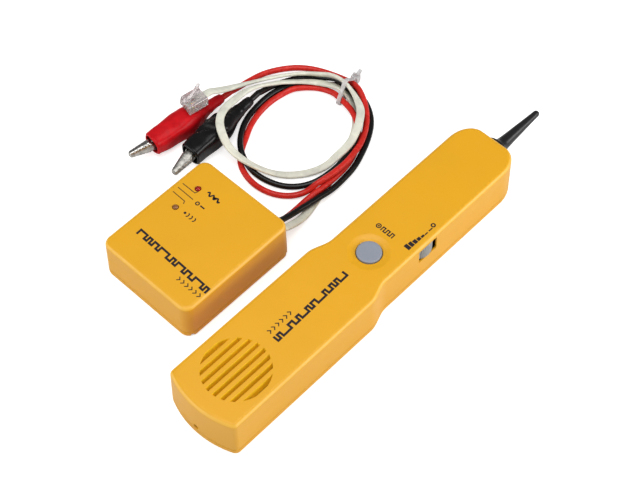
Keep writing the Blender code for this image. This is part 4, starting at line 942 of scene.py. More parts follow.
def receiver_print():
    # bars of falling height beside the wheel: x0, x1, upper y
    bars = ((-19.75, -17.6, -11.2), (-17.2, -15.05, -11.75), (-14.65, -12.5, -12.4),
            (-12.1, -9.95, -12.95), (-9.5, -7.4, -13.6), (-7.0, -4.9, -14.15))
    marks = [rectangle(x0, x1, -14.85, top) for x0, x1, top in bars]
    marks += hoop(0.35, -13.65, 1.0, 0.72)
    marks.append(rectangle(-3.9, -1.3, -14.75, -14.1))
    # a dotted ring and a short pulse train
    press = hoop(1.6, 1.5, 1.2, 0.62) + [disc(1.6, 1.5, 0.5, 20)]
    press += place(pulses(7.4, 2.4, 0.66, [2] * 5), 4.0, 0.3, along=(1, 0), up=(0, 1))
    marks += place(press, -20.5, 8.0)
    slant = {"along": (-1, -0.03), "up": (0.03, -1)}
    marks += place(PULSE_TRAIN, -52.4, 0.25, **slant)
    marks += place(chevrons(foot=1.1, point=0.0), -86.0, 4.3, **slant)
    printed("receiver_print", marks, RX_TOP, RECEIVER)


sender_print()
receiver_print()


# ================================================================ lead routes
WIRE_R = 1.45              # wire radius used for spacing the leads
WIRE_SEEN = 1.70           # wire radius that is modelled
FLAT_W, FLAT_T = 4.6, 2.2  # width and thickness of the phone lead
TIE_AT = (50.0, 92.0)
BOOT_LEN = 50.0
PIVOT = 2.8                # jaw pivot, along the clip's axis
PLUG_L, PLUG_W, PLUG_H = 12.3, 9.65, 6.6


def frame_at(origin, along, roll=0.0):
    """Frame whose X runs along a direction and whose Y starts level."""
    x = Vector(along).normalized()
    y = Vector((0, 0, 1)).cross(x).normalized()
    axes = Matrix((x, y, x.cross(y))).transposed().to_4x4()
    return Matrix.Translation(origin) @ axes @ turn(roll, "X")


RED_AT, BLACK_AT = (-54.0, 141.0, 7.9), (-44.5, 120.9, 7.7)
RED_BOOT = frame_at(RED_AT, (1.0, -0.085, -0.01))
RED_JAWS = frame_at(RED_AT, (1.0, -0.20, -0.09), 78.0)
BLACK_BOOT = frame_at(BLACK_AT, (1.0, 0.06, 0.0))
BLACK_JAWS = frame_at(BLACK_AT, (1.0, 0.10, 0.15), 8.0)
CLIPS = (("red", RED_JAWS), ("black", BLACK_JAWS))
PLUG = frame_at((-28.6, 140.2, 18.8), (1.0, -0.16, 0.0), 3.0)


def on_axis(matrix, *stations):
    return [tuple(matrix @ Vector((x, 0, 0))) for x in stations]


# Each route starts inside its boot or plug and ends inside the sender box: x, y, z.
RED_ROUTE = on_axis(RED_BOOT, 31.0, BOOT_LEN + 4.0) + [
    (11, 137.6, 6.5), (18, 137.7, 3), (26.7, 136.4, 2.5), (36, 131.6, 2.5), (44.8, 124.4, 3),
    (51, 114.7, 3), (54.3, 104, 3), (55.2, 95, 3), (53.5, 86, 3), (49.3, 77.8, 5), (42.8, 70.3, 6),
    (34.2, 63.9, 7), (24.8, 59.7, 7), (13.6, 56.6, 7.4), (4.9, 55.9, 7.6), (-6.5, 56.4, 6.2),
    (-15.2, 59, 3.5), (-22.4, 63.3, 2), (-26.8, 68, 1.6), (-30.2, 74.4, 1.6), (-32, 84, 1.6),
    (-30.6, 93.1, 1.6), (-27.2, 100.4, 1.6), (-20.5, 106.3, 1.6), (-10.9, 111.3, 1.6),
    (-4.8, 115.1, 1.6), (4.2, 117.9, 1.6), (15, 119.1, 1.6), (25.9, 118.1, 2), (34, 114.2, 3),
    (40.1, 108.3, 3), (44.3, 101.2, 3), (44.6, 95.2, 3.0), (42.6, 86.6, 4.6), (40.6, 78.8, 5.0),
    (36.4, 71.4, 4.4), (29.6, 65.0, 3.2), (20.0, 59.4, 2.8), (9, 56.2, 4.0), (-3, 54.9, 4.8),
    (-12, 55.6, 5.0), (-21.6, 56.4, 4.4), (-30, 56.0, 6.2), (-40, 55.0, 8.9), (-48, 54.9, 9.3),
    (-55, 54.9, 9.3)]
BLACK_ROUTE = on_axis(BLACK_BOOT, 31.0, BOOT_LEN + 4.0) + [
    (21.5, 125.4, 6.5), (31.5, 123.2, 4.5), (39.6, 118.8, 3.5), (46.3, 110.4, 2.5),
    (49.5, 101.8, 2.5), (50.6, 91.5, 2.5), (46.1, 79.4, 4.8), (37.3, 70.8, 5), (25.2, 63.0, 4.5),
    (12.4, 59.1, 3), (3.7, 58.6, 1.6), (-3.5, 59.6, 1.6), (-11.5, 62.6, 1.6), (-18.1, 67.5, 1.6),
    (-22.9, 74, 1.6), (-26.1, 84.6, 1.8), (-26.2, 94, 3), (-24.5, 101.5, 5), (-20.5, 107, 5),
    (-14.8, 112.2, 5), (-5.9, 118.0, 5), (5.5, 121.5, 4.5), (18.4, 122.3, 3.5), (28.5, 120.2, 2.5),
    (35.9, 115.6, 1.8), (44.0, 108.2, 1.8), (49.2, 99.1, 1.8), (52.6, 89.2, 2.2), (52.7, 80.8, 2),
    (45.7, 69.5, 1.8), (36, 62.4, 1.8), (24.7, 57.2, 1.8), (12.1, 53.6, 1.8), (-3.7, 51.5, 3.2),
    (-12, 51.9, 4.6), (-21.6, 52.9, 6.6), (-31, 53.6, 9.8), (-39, 53.2, 12.2), (-48, 53.0, 12.8),
    (-55, 53.0, 12.8)]
PHONE_ROUTE = on_axis(PLUG, PLUG_L - 5.6, PLUG_L + 3.5) + [
    (-2.7, 136.4, 17.2), (8.3, 135.2, 13), (20.9, 131.6, 9.5), (28.3, 128.0, 8.5),
    (35.3, 122.6, 8), (42.6, 114.2, 8), (48.2, 104.4, 8), (49.8, 94.4, 8.5), (47.9, 85, 8.5),
    (43.5, 76.3, 8), (38.3, 70.7, 8.5), (29.5, 65.4, 9), (19.8, 62.4, 9), (10.4, 62.4, 8.5),
    (1.3, 64.4, 7.5), (-10, 71.5, 4.8), (-17.8, 79, 5), (-23.6, 88.4, 6), (-26.6, 96.8, 8),
    (-28, 105.4, 10), (-27.1, 113.3, 15.5), (-24, 119.0, 17.6), (-19.5, 122.9, 18),
    (-12.2, 126.4, 17), (-4.5, 127.4, 15), (5.3, 128.3, 12), (15.3, 126.3, 10), (27, 122.3, 8),
    (35.3, 115.3, 8), (42.5, 106.7, 8), (47.4, 99.5, 6.8), (48.6, 90.4, 3.2), (45.2, 82.3, 2.2),
    (39.1, 74.4, 1.6), (30.3, 67.5, 1.6), (20, 62.8, 1.4), (9.5, 59.4, 1.4), (-2, 57.0, 1.5),
    (-10, 55.0, 1.8), (-16.3, 53.6, 2.2), (-22, 51.8, 3.8), (-29.5, 49.9, 6.4), (-39.6, 49.0, 9.8),
    (-48, 49.0, 10.6), (-55, 49.0, 10.6)]

# outline of a boot: distance from its mouth, half height
BOOT_X = [0.0, 1.0, 12.0, 20.0, 26.0, 30.0, 34.0, 38.0, 42.0, BOOT_LEN - 0.8, BOOT_LEN]
BOOT_R = [5.7, 6.0, 6.9, 7.4, 7.2, 6.2, 4.9, 3.9, 3.3, 2.75, 2.45]


def boot_section(x):
    return float(np.interp(x, BOOT_X, BOOT_R))


def smooth_route(points):
    """Samples of a Catmull-Rom curve through the points, about 1.5 mm apart."""
    p = np.array(points, float)
    p = np.vstack([2 * p[0] - p[1], p, 2 * p[-1] - p[-2]])
    curve = []
    for i in range(1, len(p) - 2):
        a, b, c, d = p[i - 1], p[i], p[i + 1], p[i + 2]
        n = max(int(np.linalg.norm(c - b) / 0.5), 2)
        for k in range(n):
            t = k / n
            curve.append(0.5 * (2 * b + (c - a) * t + (2 * a - 5 * b + 4 * c - d) * t * t
                                + (3 * b - a - 3 * c + d) * t ** 3))
    curve.append(p[-2])
    curve = np.array(curve)
    steps = np.linalg.norm(np.diff(curve, axis=0), axis=1)
    travel = np.concatenate([[0], np.cumsum(steps)])
    even = np.linspace(0, travel[-1], int(round(travel[-1] / 1.5)) + 1)
    return np.stack([np.interp(even, travel, curve[:, k]) for k in range(3)], 1)


def boot_floor(points, boot, wide, high):
    """Lowest height a lead may have where it passes over a boot."""
    origin = np.array(boot.translation)
    axis = np.array((boot @ Vector((1, 0, 0))) - boot.translation)
    level = axis[:2] / np.linalg.norm(axis[:2])
    offset = points[:, :2] - origin[:2]
    along = offset @ level
    aside = np.abs(offset @ np.array((-level[1], level[0])))
    radius = np.array([boot_section(min(max(x, 0.0), BOOT_LEN)) for x in along])
    radius = np.where((along > -wide) & (along < BOOT_LEN + wide), radius, 0.0)
    edge = np.clip(np.maximum(aside - wide - 0.1, 0.0) / np.maximum(radius, 0.1), 0.0, 1.0)
    top = (origin[2] + axis[2] * np.clip(along, 0, BOOT_LEN)
           + radius * (1.0 - edge ** 2.7) ** (1 / 2.7))
    return np.where((radius > 0) & (edge < 1.0), top + high + 0.45, 0.0)


def nearness(offset, reach_h, reach_v):
    """Length of an offset, where 1 is just touching."""
    return np.sqrt((offset[..., 0] / reach_h) ** 2 + (offset[..., 1] / reach_h) ** 2
                   + (offset[..., 2] / reach_v) ** 2)


ROUNDS = 520         # most rounds of spacing
LEAST_ROUNDS = 120   # rounds done even when nothing touches
RELIST = 8           # rounds between new lists of near pairs
CLEARANCE = 0.7
PUSH = 0.55          # share of the overlap undone each round
SIDEWAYS = 0.35      # weight of level moves, and of the upward bias
HOME_PULL = 0.01     # pull back to the drawn plan
SINK = 0.02          # settling of each round


def space_leads(routes, radii, hold):
    """Lift and shift the leads where they cross until none touch.

    radii are (level, upright) for each lead; hold is how many end samples stay fixed.
    """
    paths = [smooth_route(route) for route in routes]
    owner = np.concatenate([np.full(len(p), i) for i, p in enumerate(paths)])
    index = np.concatenate([np.arange(len(p)) for p in paths])
    count = np.array([len(p) for p in paths])[owner]
    drawn = np.vstack(paths)
    points = drawn.copy()
    wide, high = np.array(radii)[owner].T
    head, tail = np.array(hold)[owner].T
    free = (index >= head) & (index < count - tail)
    slack = np.clip(np.minimum(index - head, count - tail - 1 - index) / 6.0, 0, 1) * free
    reach_h = wide[:, None] + wide[None, :] + CLEARANCE
    reach_v = high[:, None] + high[None, :] + CLEARANCE
    apart = ((owner[:, None] != owner[None, :])
             | (np.abs(index[:, None] - index[None, :]) > 8))
    # the leads are held a little higher near the tie, to leave room for its loop
    from_tie = np.hypot(points[:, 0] - TIE_AT[0], points[:, 1] - TIE_AT[1])
    floor_z = high + 0.05 + 1.35 * np.clip((11.0 - from_tie) / 5.0, 0, 1)
    flat_lead = owner == 2
    for k in range(ROUNDS):
        if k % RELIST == 0:
            close = nearness(points[:, None, :] - points[None, :, :], reach_h, reach_v) < 2.0
            near_i, near_j = np.nonzero(apart & close)
            near_h, near_v = reach_h[near_i, near_j], reach_v[near_i, near_j]
        offset = points[near_i] - points[near_j]
        near = nearness(offset, near_h, near_v)
        hit = near < 1.0
        if k > LEAST_ROUNDS and not hit.any():
            break
        i, j, offset, near = near_i[hit], near_j[hit], offset[hit], near[hit]
        hit_h, hit_v = near_h[hit], near_v[hit]
        # the upper of two samples goes up; ties are settled by drawn height, lead and index
        rank = (drawn[i, 2] - drawn[j, 2] + 1e-4 * (owner[i] - owner[j])
                + 1e-5 * (index[i] - index[j]))
        up = np.where(np.abs(offset[:, 2]) > 1e-3, np.sign(offset[:, 2]), np.sign(rank))
        way = np.stack([SIDEWAYS * offset[:, 0] / hit_h, SIDEWAYS * offset[:, 1] / hit_h,
                        offset[:, 2] / hit_v + SIDEWAYS * up], 1)
        way /= np.linalg.norm(way, axis=1)[:, None] + 1e-9
        move = np.zeros_like(points)
        hits = np.zeros(len(points))
        np.add.at(move, i, way * ((1.0 - near) * hit_v)[:, None])
        np.add.at(hits, i, 1.0)
        move /= np.maximum(hits, 1.0)[:, None]
        points = points + move * PUSH * slack[:, None]
        # smooth along each lead
        bend = np.zeros_like(points)
        bend[1:-1] = 0.5 * (points[:-2] + points[2:]) - points[1:-1]
        bend[(index == 0) | (index == count - 1)] = 0
        calm = 0.35 if k < ROUNDS * 0.7 else 0.12
        points = points + bend * calm * slack[:, None]
        points[:, :2] += (drawn[:, :2] - points[:, :2]) * HOME_PULL * slack[:, None]
        points[:, 2] -= SINK * slack * (k < ROUNDS * 0.6)
        points[:, 2] = np.where(free, np.maximum(points[:, 2], floor_z), points[:, 2])
        if k % 4 == 0 or k > ROUNDS * 0.9:
            lift = np.maximum(boot_floor(points, RED_BOOT, wide, high),
                              boot_floor(points, BLACK_BOOT, wide, high))
        points[:, 2] = np.where(free & flat_lead, np.maximum(points[:, 2], lift), points[:, 2])
    return [points[owner == i] for i in range(len(paths))]


LEADS = space_leads([RED_ROUTE, BLACK_ROUTE, PHONE_ROUTE],
                    radii=[(WIRE_R, WIRE_R), (WIRE_R, WIRE_R), (FLAT_W / 2, FLAT_T / 2)],
                    hold=[(17, 6), (17, 6), (7, 6)])


# ================================================================ lead meshes
def path_axes(points):
    """Level side and upward directions along a path."""
    tangent = directions(points)
    side = np.stack([-tangent[:, 1], tangent[:, 0], np.zeros(len(tangent))], 1)
    side /= np.linalg.norm(side, axis=1)[:, None]
    return side, np.cross(tangent, side)


def sweep(points, section, roll=None):
    """Section carried along the points, its x kept level but for the roll."""
    p = np.array(points, float)
    side, up = path_axes(p)
    rings = []
    for i, angle in enumerate(np.zeros(len(p)) if roll is None else roll):
        x_axis = side[i] * math.cos(angle) + up[i] * math.sin(angle)
        y_axis = up[i] * math.cos(angle) - side[i] * math.sin(angle)
        rings.append([tuple(p[i] + x_axis * x + y_axis * y) for x, y in section])
    return loft(rings)


def ease(value, low, high):
    q = np.clip((value - low) / (high - low), 0, 1)
    return q * q * (3 - 2 * q)


VIEW_SIDE = np.array((0.409, 0.388, -0.826))    # the roll grows as the lead's side nears this
RISE_WAY = np.array((-0.495, -0.470, 1.0))      # a rolled lead is shifted this way
MOST_ROLL = 64.0


def cable_roll(points, others, section):
    """Raised path and roll of the flat lead.

    It tips on edge round three parts of the coil, as far as its neighbours leave room.
    """
    p = np.array(points, float)
    n = len(p)
    index = np.arange(n)
    side, up = path_axes(p)
    x, y = p[:, 0], p[:, 1]
    # share of the full roll at the +X, +Y and -X parts of the coil
    right = ease(x, 22.0, 38.0) * ease(y, 62.0, 78.0)
    upper = 0.72 * ease(y, 98.0, 112.0) * ease(x, -6.0, 10.0)
    left = 0.55 * ease(-x, 8.0, 20.0) * ease(y, 72.0, 86.0) * ease(-y, -112.0, -98.0)
    fade = ease(-index, -n + 8.0, -n + 30.0)
    force = np.maximum(np.maximum(right, upper), left) * np.where(index > n - 40, fade, 1.0)
    want = -np.radians(MOST_ROLL) * force * np.clip(side @ VIEW_SIDE / 0.22, -1, 1)
    first_half = ease(-index, -0.52 * n, -0.44 * n)
    rise = (np.abs(np.sin(want)) * (FLAT_W - FLAT_T) / 2 * first_half
            * np.maximum(right, 0.8 * upper))
    p = p + rise[:, None] * RISE_WAY
    rim = np.array(section)[::2]
    others = np.array(others, float)
    best = np.zeros(n)
    done = np.zeros(n, bool)
    # try the full roll first, then less and less of it
    for share in np.linspace(1.0, 0.0, 11):
        roll = want * share
        c, s = np.cos(roll)[:, None, None], np.sin(roll)[:, None, None]
        edge = (p[:, None, :] + (side[:, None, :] * c + up[:, None, :] * s) * rim[None, :, :1]
                + (up[:, None, :] * c - side[:, None, :] * s) * rim[None, :, 1:])
        gap = np.full(n, 1e9)
        for k in range(edge.shape[1]):
            reach = np.sqrt(((edge[:, k, None, :] - others[None]) ** 2).sum(2)).min(1)
            gap = np.minimum(gap, reach - WIRE_SEEN)
        fits = (gap > 0.03) & (edge[..., 2].min(1) > 0.12)
        best[fits & ~done] = roll[fits & ~done]
        done |= fits
    least = np.array([np.abs(best[max(i - 2, 0):i + 3]).min() for i in index])
    low = np.sign(best) * least
    return p, np.convolve(np.pad(low, 6, mode="edge"), np.ones(13) / 13.0, "valid")


def flat_outline():
    """Rounded flat section with faint ridges over its four cores."""
    outline = []
    for i in range(32):
        angle = 2 * math.pi * i / 32
        c, s = math.cos(angle), math.sin(angle)
        x = FLAT_W / 2 * math.copysign(abs(c) ** (2 / 2.8), c)
        y = FLAT_T / 2 * math.copysign(abs(s) ** (2 / 2.8), s)
        y *= 1.0 - 0.05 * (0.5 + 0.5 * math.cos(2 * math.pi * x / 1.02))
        outline.append((x, y))
    return outline


def leads():
    """Make the three leads; returns the vertices of each."""
    wire = disc(0, 0, WIRE_SEEN, 24)
    flat = flat_outline()
    phone_path, phone_roll = cable_roll(LEADS[2], np.vstack(LEADS[:2]), flat)
    look = {"angle": 50, "weighted": False}
    swept = [sweep(LEADS[0], wire), sweep(LEADS[1], wire), sweep(phone_path, flat, phone_roll)]
    add("lead_red", swept[0], SENDER, "red_vinyl", "red_wire", mat=wire_red, **look)
    add("lead_black", swept[1], SENDER, "black_vinyl", "black_wire", mat=wire_black, **look)
    add("lead_phone", swept[2], SENDER, "ivory_vinyl", "phone_cable", **look)
    return [part[0] for part in swept]


lead_verts = leads()

# ================================================================ clips
BOOT_SIDES = 56
BOOT_LIP = 0.22     # waviness of the mouth


def boot_angle(i):
    return 2 * math.pi * (i + 0.5) / BOOT_SIDES


def boot_radius(x):
    """Half height: lip at the mouth, swelling body, shoulder, sleeve with two low rings."""
    radius = boot_section(x)
    if 1.2 <= x <= 47.5:
        radius = np.mean([boot_section(min(max(x + d, 0.0), BOOT_LEN))
                          for d in (-1.6, -0.8, 0.0, 0.8, 1.6)])
    radius += 0.16 * math.exp(-((x - 0.9) / 0.7) ** 2)
    radius += 0.30 * math.exp(-((x - 40.2) / 0.55) ** 2) + 0.22 * math.exp(-((x - 46.6) / 0.8) ** 2)
    return radius


def boot_ring(x, inset, dent, lip=None):
    """Section of a boot, squarer at the mouth than at the sleeve."""
    if lip is None:
        lip = BOOT_LIP * max(0.0, 1 - x / 3.0)
    power = float(np.interp(x, [0, 24, 32, 38, 50], [3.3, 3.3, 2.7, 2.15, 2.0]))
    half = boot_radius(x) - inset
    points = []
    for i in range(BOOT_SIDES):
        angle = boot_angle(i)
        c, s = math.cos(angle), math.sin(angle)
        y = half * math.copysign(abs(c) ** (2 / power), c)
        z = half * 0.96 * math.copysign(abs(s) ** (2 / power), s)
        k = 1.0 + dent(x, angle) / max(half, 1.0)
        points.append((x + lip * math.sin(angle * 2 + 0.6), y * k, z * k))
    return points


def dents(seed, folds):
    """Squeezed look: low noise plus folds of (place, angle, slant, width, depth, length)."""
    def dent(x, angle):
        calm = min(1.0, max(0.0, (BOOT_LEN - 9 - x) / 6.0))
        at = Vector((x * 0.10 + seed, math.cos(angle) * 1.1, math.sin(angle) * 1.1))
        height = 0.55 * noise.noise(at) * calm
        for fold_x, fold_angle, slant, width, depth, length in folds:
            turned = (angle - fold_angle + math.pi) % (2 * math.pi) - math.pi
            line = (x - fold_x) - slant * turned * 6.0
            fade = math.exp(-(turned / length) ** 2)
            height -= depth * math.exp(-(line / width) ** 2) * fade
            height += 0.55 * depth * math.exp(-((line - 1.9 * width) / width) ** 2) * fade
        return height
    return dent


def boot(name, matrix, slot, node, dent):
    """Closed sleeve: outside from mouth to wire end, then the wire bore and the inside back."""
    stations = [0.0, 0.25, 0.6, 1.0, 1.5] + [2.2 + 0.8 * k for k in range(56)]
    stations += [47.4, 48.2, 49.0, 49.6, 49.9, BOOT_LEN]
    rounding = {0.0: 0.30, 0.25: 0.10, 49.6: 0.08, 49.9: 0.28, BOOT_LEN: 0.6}
    rings = [boot_ring(x, rounding.get(x, 0.0), dent) for x in stations]
    bore = WIRE_SEEN + 0.1
    for x in (BOOT_LEN - 0.05, 34.0):
        rings.append([(x, bore * math.cos(boot_angle(i)), bore * math.sin(boot_angle(i)))
                      for i in range(BOOT_SIDES)])
    for x in (28.0, 24.0, 20.0, 16.0, 12.0, 8.0, 4.0, 1.0, 0.35):
        rings.append(boot_ring(x, 1.15, dent))
    rings.append(boot_ring(0.05, 0.85, dent, lip=BOOT_LIP))
    add(name, loft(rings, closed=True), SENDER, slot, node, matrix=matrix, angle=60,
        weighted=False)


boot("red_boot", RED_BOOT, "red_vinyl", "red_clip_boot", dents(3.1, [
    (30.0, 0.9, 0.6, 1.6, 0.45, 0.7), (22.0, 5.6, 0.3, 2.2, 0.30, 0.5),
    (33.5, 2.2, -0.5, 1.4, 0.4, 0.8)]))
boot("black_boot", BLACK_BOOT, "black_vinyl", "black_clip_boot", dents(8.4, [
    (13.0, 1.0, 0.9, 1.7, 0.95, 0.55), (9.0, 5.3, -0.5, 1.5, 0.8, 0.45),
    (26.0, 1.2, 0.7, 1.9, 1.0, 0.7), (31.5, 4.6, -0.4, 1.8, 0.8, 0.8),
    (20.0, 2.3, 0.4, 1.7, 0.8, 0.5), (18.0, 0.5, -0.8, 1.6, 0.7, 0.4)]))

# the black clip's jaws get a darker copy of the nickel steel: painted shade, for the dimmer
# reflections they show
jaw_steel_painted_shade = metal("pressed_steel_painted_shade", (0.40, 0.39, 0.36), rough=0.38, brush=(0.6, 2.0, 2.0),
                 dark=0.45)
JAW_TIP = -14.2


def jaw_stations():
    """Close steps at the tip and along the teeth, wider ones behind."""
    stations = [JAW_TIP + d for d in (0.0, 0.06, 0.16, 0.32, 0.52, 0.78, 1.05)]
    x = stations[-1]
    while x < -2.3:
        x += 0.2375
        stations.append(x)
    return stations + [-1.6, -0.8, 0.0, 0.5, 1.0, 1.6, 2.4, 3.3, 4.0, 4.8, 5.4, 6.4, 7.6, 9.0,
                       10.1, 10.4]


def jaw(name, matrix, lower, body, node, mat):
    """Pressed trough with a toothed edge and ears at the pivot."""
    sign = -1.0 if lower else 1.0
    waist = 3.5 if lower else 2.7
    count = 13
    rings = []
    for x in jaw_stations():
        nose = min(1.0, (x - JAW_TIP + 0.02) / 1.05)
        nose = math.sqrt(max(0.0, 1 - (1 - nose) ** 2))
        half = nose * float(np.interp(x, [JAW_TIP, -2.2, 0.4, 5.2, 7.6, 10.4],
                                      [1.7, 3.45, waist, waist, waist - 0.4, waist - 0.9]))
        height = nose * float(np.interp(x, [JAW_TIP, -2.2, 5.2, 7.6, 10.4],
                                        [1.5, 2.6, 2.6, 3.0, 3.2]))
        tooth = 2.0 * abs(((x + 0.3) / 1.9) % 1.0 - 0.5) * 2.0 - 1.0
        depth = 0.32 * min(1.0, max(0.0, (x - JAW_TIP - 0.8) / 0.8)) * (1.0 if x < -2.2 else 0.0)
        edge = 0.16 * sign + depth * tooth
        if x > 0.4:
            edge = float(np.interp(x, [0.4, 1.0, 3.3, 4.8, 5.2, 7.6, 10.4],
                                   [0.15, -1.3, -1.3, -0.3, 0.3, 0.9, 1.1])) * sign
        top = height * sign
        if (top - edge) * sign < 0.12:
            edge = top - 0.12 * sign
        sheet = min(0.5, 0.42 * half, 0.42 * abs(top - edge))
        outer, inner = [], []
        for i in range(count):
            angle = math.pi * i / (count - 1)
            c, s = -math.cos(angle), math.sin(angle)
            y = math.copysign(abs(c) ** (2 / 3.2), c)
            z = abs(s) ** (2 / 3.2)
            outer.append((x, half * y, edge + (top - edge) * z))
            inner.append((x, (half - sheet) * y, edge + (top - sheet * sign - edge) * z))
        rings.append(outer + inner[::-1])
    add(name, loft(rings), body, "steel", node, matrix=matrix, mat=mat, angle=38, weighted=False)


def rivet(color, jaws):
    """Pivot pin with peened ends."""
    half = [(0, 4.1), (0.7, 4.05), (1.15, 3.85), (1.25, 3.6), (0.85, 3.55)]
    profile = [(r, -z) for r, z in half] + half[::-1]
    add(color + "_rivet", lathe(profile, 28), SENDER, "steel", color + "_clip_pivot_pin",
        matrix=jaws @ shift(PIVOT, 0, 0) @ turn(90, "X"), angle=45)


def spring(color, jaws):
    """Three turns of wire about the pivot and a short leg."""
    turns, steps, radius, wire_r = 3, 28, 1.55, 0.27
    points = []
    for i in range(turns * steps + 1):
        angle = 2 * math.pi * i / steps - math.pi / 2
        points.append((PIVOT + radius * math.cos(angle), -1.1 + 2.2 * i / 84.0,
                       radius * math.sin(angle)))
    for i in range(1, 9):
        points.append((PIVOT + 4.5 * i / 8.0, 1.15, -radius - 0.2 * i / 8.0))
    p = np.array(points)
    tangent = directions(p)
    first = np.cross(tangent, np.array([0, 1.0, 0]))
    first /= np.linalg.norm(first, axis=1)[:, None]
    second = np.cross(tangent, first)
    angles = [2 * math.pi * j / 12 for j in range(12)]
    rings = [[tuple(p[i] + wire_r * (first[i] * math.cos(a) + second[i] * math.sin(a)))
              for a in angles] for i in range(len(p))]
    add(color + "_coil", loft(rings), SENDER, "steel", color + "_clip_jaw_spring", matrix=jaws,
        angle=50, weighted=False)


for color, jaws in CLIPS:
    # the black clip's jaws take the darker steel, a painted shade
    steel = jaw_steel_painted_shade if color == "black" else mats["steel"]
    for lower, end, body, kind in ((True, "_jaw_lower", SENDER, "fixed"),
                                   (False, "_jaw_upper", color + "_jaw", "moving")):
        jaw(color + end, jaws, lower, body, color + "_clip_jaw_" + kind, steel)
for color, jaws in CLIPS:
    rivet(color, jaws)
for color, jaws in CLIPS:
    spring(color, jaws)

# ================================================================ phone plug
UPRIGHT = turn(90, "X")
PLUG_TOP = PLUG_H / 2
PLUG_BASE = -PLUG_TOP
CONTACT_Y = [(k - 1.5) * 1.02 for k in range(4)]


def plug_shell():
    # side view: x, z
    side = [(0.25, PLUG_BASE), (PLUG_L - 0.25, PLUG_BASE), (PLUG_L, PLUG_BASE + 0.25),
            (PLUG_L, PLUG_TOP - 0.5), (PLUG_L - 0.4, PLUG_TOP - 0.15), (PLUG_L - 3.2, PLUG_TOP),
            (1.6, PLUG_TOP), (1.2, PLUG_TOP - 0.15), (0.0, PLUG_TOP - 1.7),
            (0.0, PLUG_BASE + 0.25)]
    half = PLUG_W / 2
    shell = raw("plug_shell", prism(side, [(-half, -0.22), (-half + 0.22, 0.0),
                                           (half - 0.22, 0.0), (half, -0.22)], UPRIGHT))
    # bore for the lead, narrower bore for its cores, shallow top and bottom recesses
    carve(shell, block(PLUG_L - 7.6, PLUG_L + 1, -2.7, 2.7, -1.5, 1.5))
    carve(shell, block(3.6, PLUG_L - 7.4, -2.3, 2.3, -0.7, 0.7))
    carve(shell, block(3.4, PLUG_L - 3.6, -2.0, 2.0, PLUG_TOP - 1.0, PLUG_TOP + 1))
    carve(shell, block(PLUG_L - 5.4, PLUG_L - 3.4, -2.4, 2.4, PLUG_BASE - 1, PLUG_BASE + 1.3))
    for y in CONTACT_Y:
        carve(shell, block(-1.0, 4.3, y - 0.30, y + 0.30, PLUG_BASE - 1, PLUG_BASE + 3.4))
    for y0, y1 in ((-3.6, -2.55), (2.55, 3.6)):
        carve(shell, block(-1.0, 4.0, y0, y1, PLUG_BASE - 1, PLUG_BASE + 1.1))
    shell.data.transform(PLUG)
    finish(shell, SENDER, "clear_plastic", "plug_body", angle=30)


def plug_latch():
    # x, z, half thickness, half width along the rising arm
    arm = [(-0.85, -0.02, 0.38, 1.75), (0.1, 0.12, 0.42, 1.7), (1.0, 0.6, 0.44, 1.45),
           (2.0, 1.45, 0.43, 1.15), (3.3, 2.85, 0.40, 1.0), (4.8, 4.6, 0.38, 0.95),
           (6.2, 6.5, 0.38, 0.95), (7.4, 8.15, 0.36, 0.95), (7.75, 8.55, 0.26, 0.85)]
    rings = []
    for i, (x, z, thick, wide) in enumerate(arm):
        before = arm[max(i - 1, 0)]
        after = arm[min(i + 1, len(arm) - 1)]
        run, climb = after[0] - before[0], after[1] - before[1]
        length = math.hypot(run, climb)
        normal_x, normal_z = -climb / length, run / length
        rings.append([(x + normal_x * c, y, z + normal_z * c)
                      for y, c in round_rect(-wide, wide, -thick, thick, 0.16, 3)])
    add("plug_latch_arm", loft(rings), "latch", "clear_plastic", "plug_latch",
        matrix=PLUG @ shift(2.0, 0.0, PLUG_TOP + 0.75), angle=34)


def plug_blades():
    # side view of a contact: x, height over the plug's base
    side = [(0.5, 0.25), (3.9, 0.25), (3.9, 3.0), (3.3, 3.35), (2.9, 2.6), (2.3, 3.3),
            (1.6, 2.8), (0.5, 1.2)]
    part = prism([(x, PLUG_BASE + z) for x, z in side], [(-0.13, 0), (0.13, 0)])
    for k, y in enumerate(CONTACT_Y, 1):
        add(f"plug_blade_{k}", part, SENDER, "gold_contact", f"plug_contact_{k}",
            matrix=PLUG @ shift(0, y, 0) @ UPRIGHT, angle=30)


def plug_cores():
    colors = {"yellow": (0.75, 0.5, 0.03), "green": (0.03, 0.30, 0.06),
              "red": (0.6, 0.02, 0.02), "black": (0.01, 0.01, 0.01)}
    cores = [vinyl("core_" + name, color, rough=0.4, spec=0.4, wrinkle=0.02)
             for name, color in colors.items()]
    section = disc(0, 0, 0.38, 14)
    for k, y in enumerate(CONTACT_Y):
        points = [tuple(PLUG @ Vector((PLUG_L - 5.4 - 0.35 * i, y * (0.96 + 0.004 * i),
                                       0.012 * i * math.sin(i * 0.5)))) for i in range(12)]
        add(f"plug_core_{k + 1}", sweep(points, section), SENDER, mat=cores[k], angle=50,
            weighted=False)


plug_shell()
plug_latch()
plug_blades()
plug_cores()


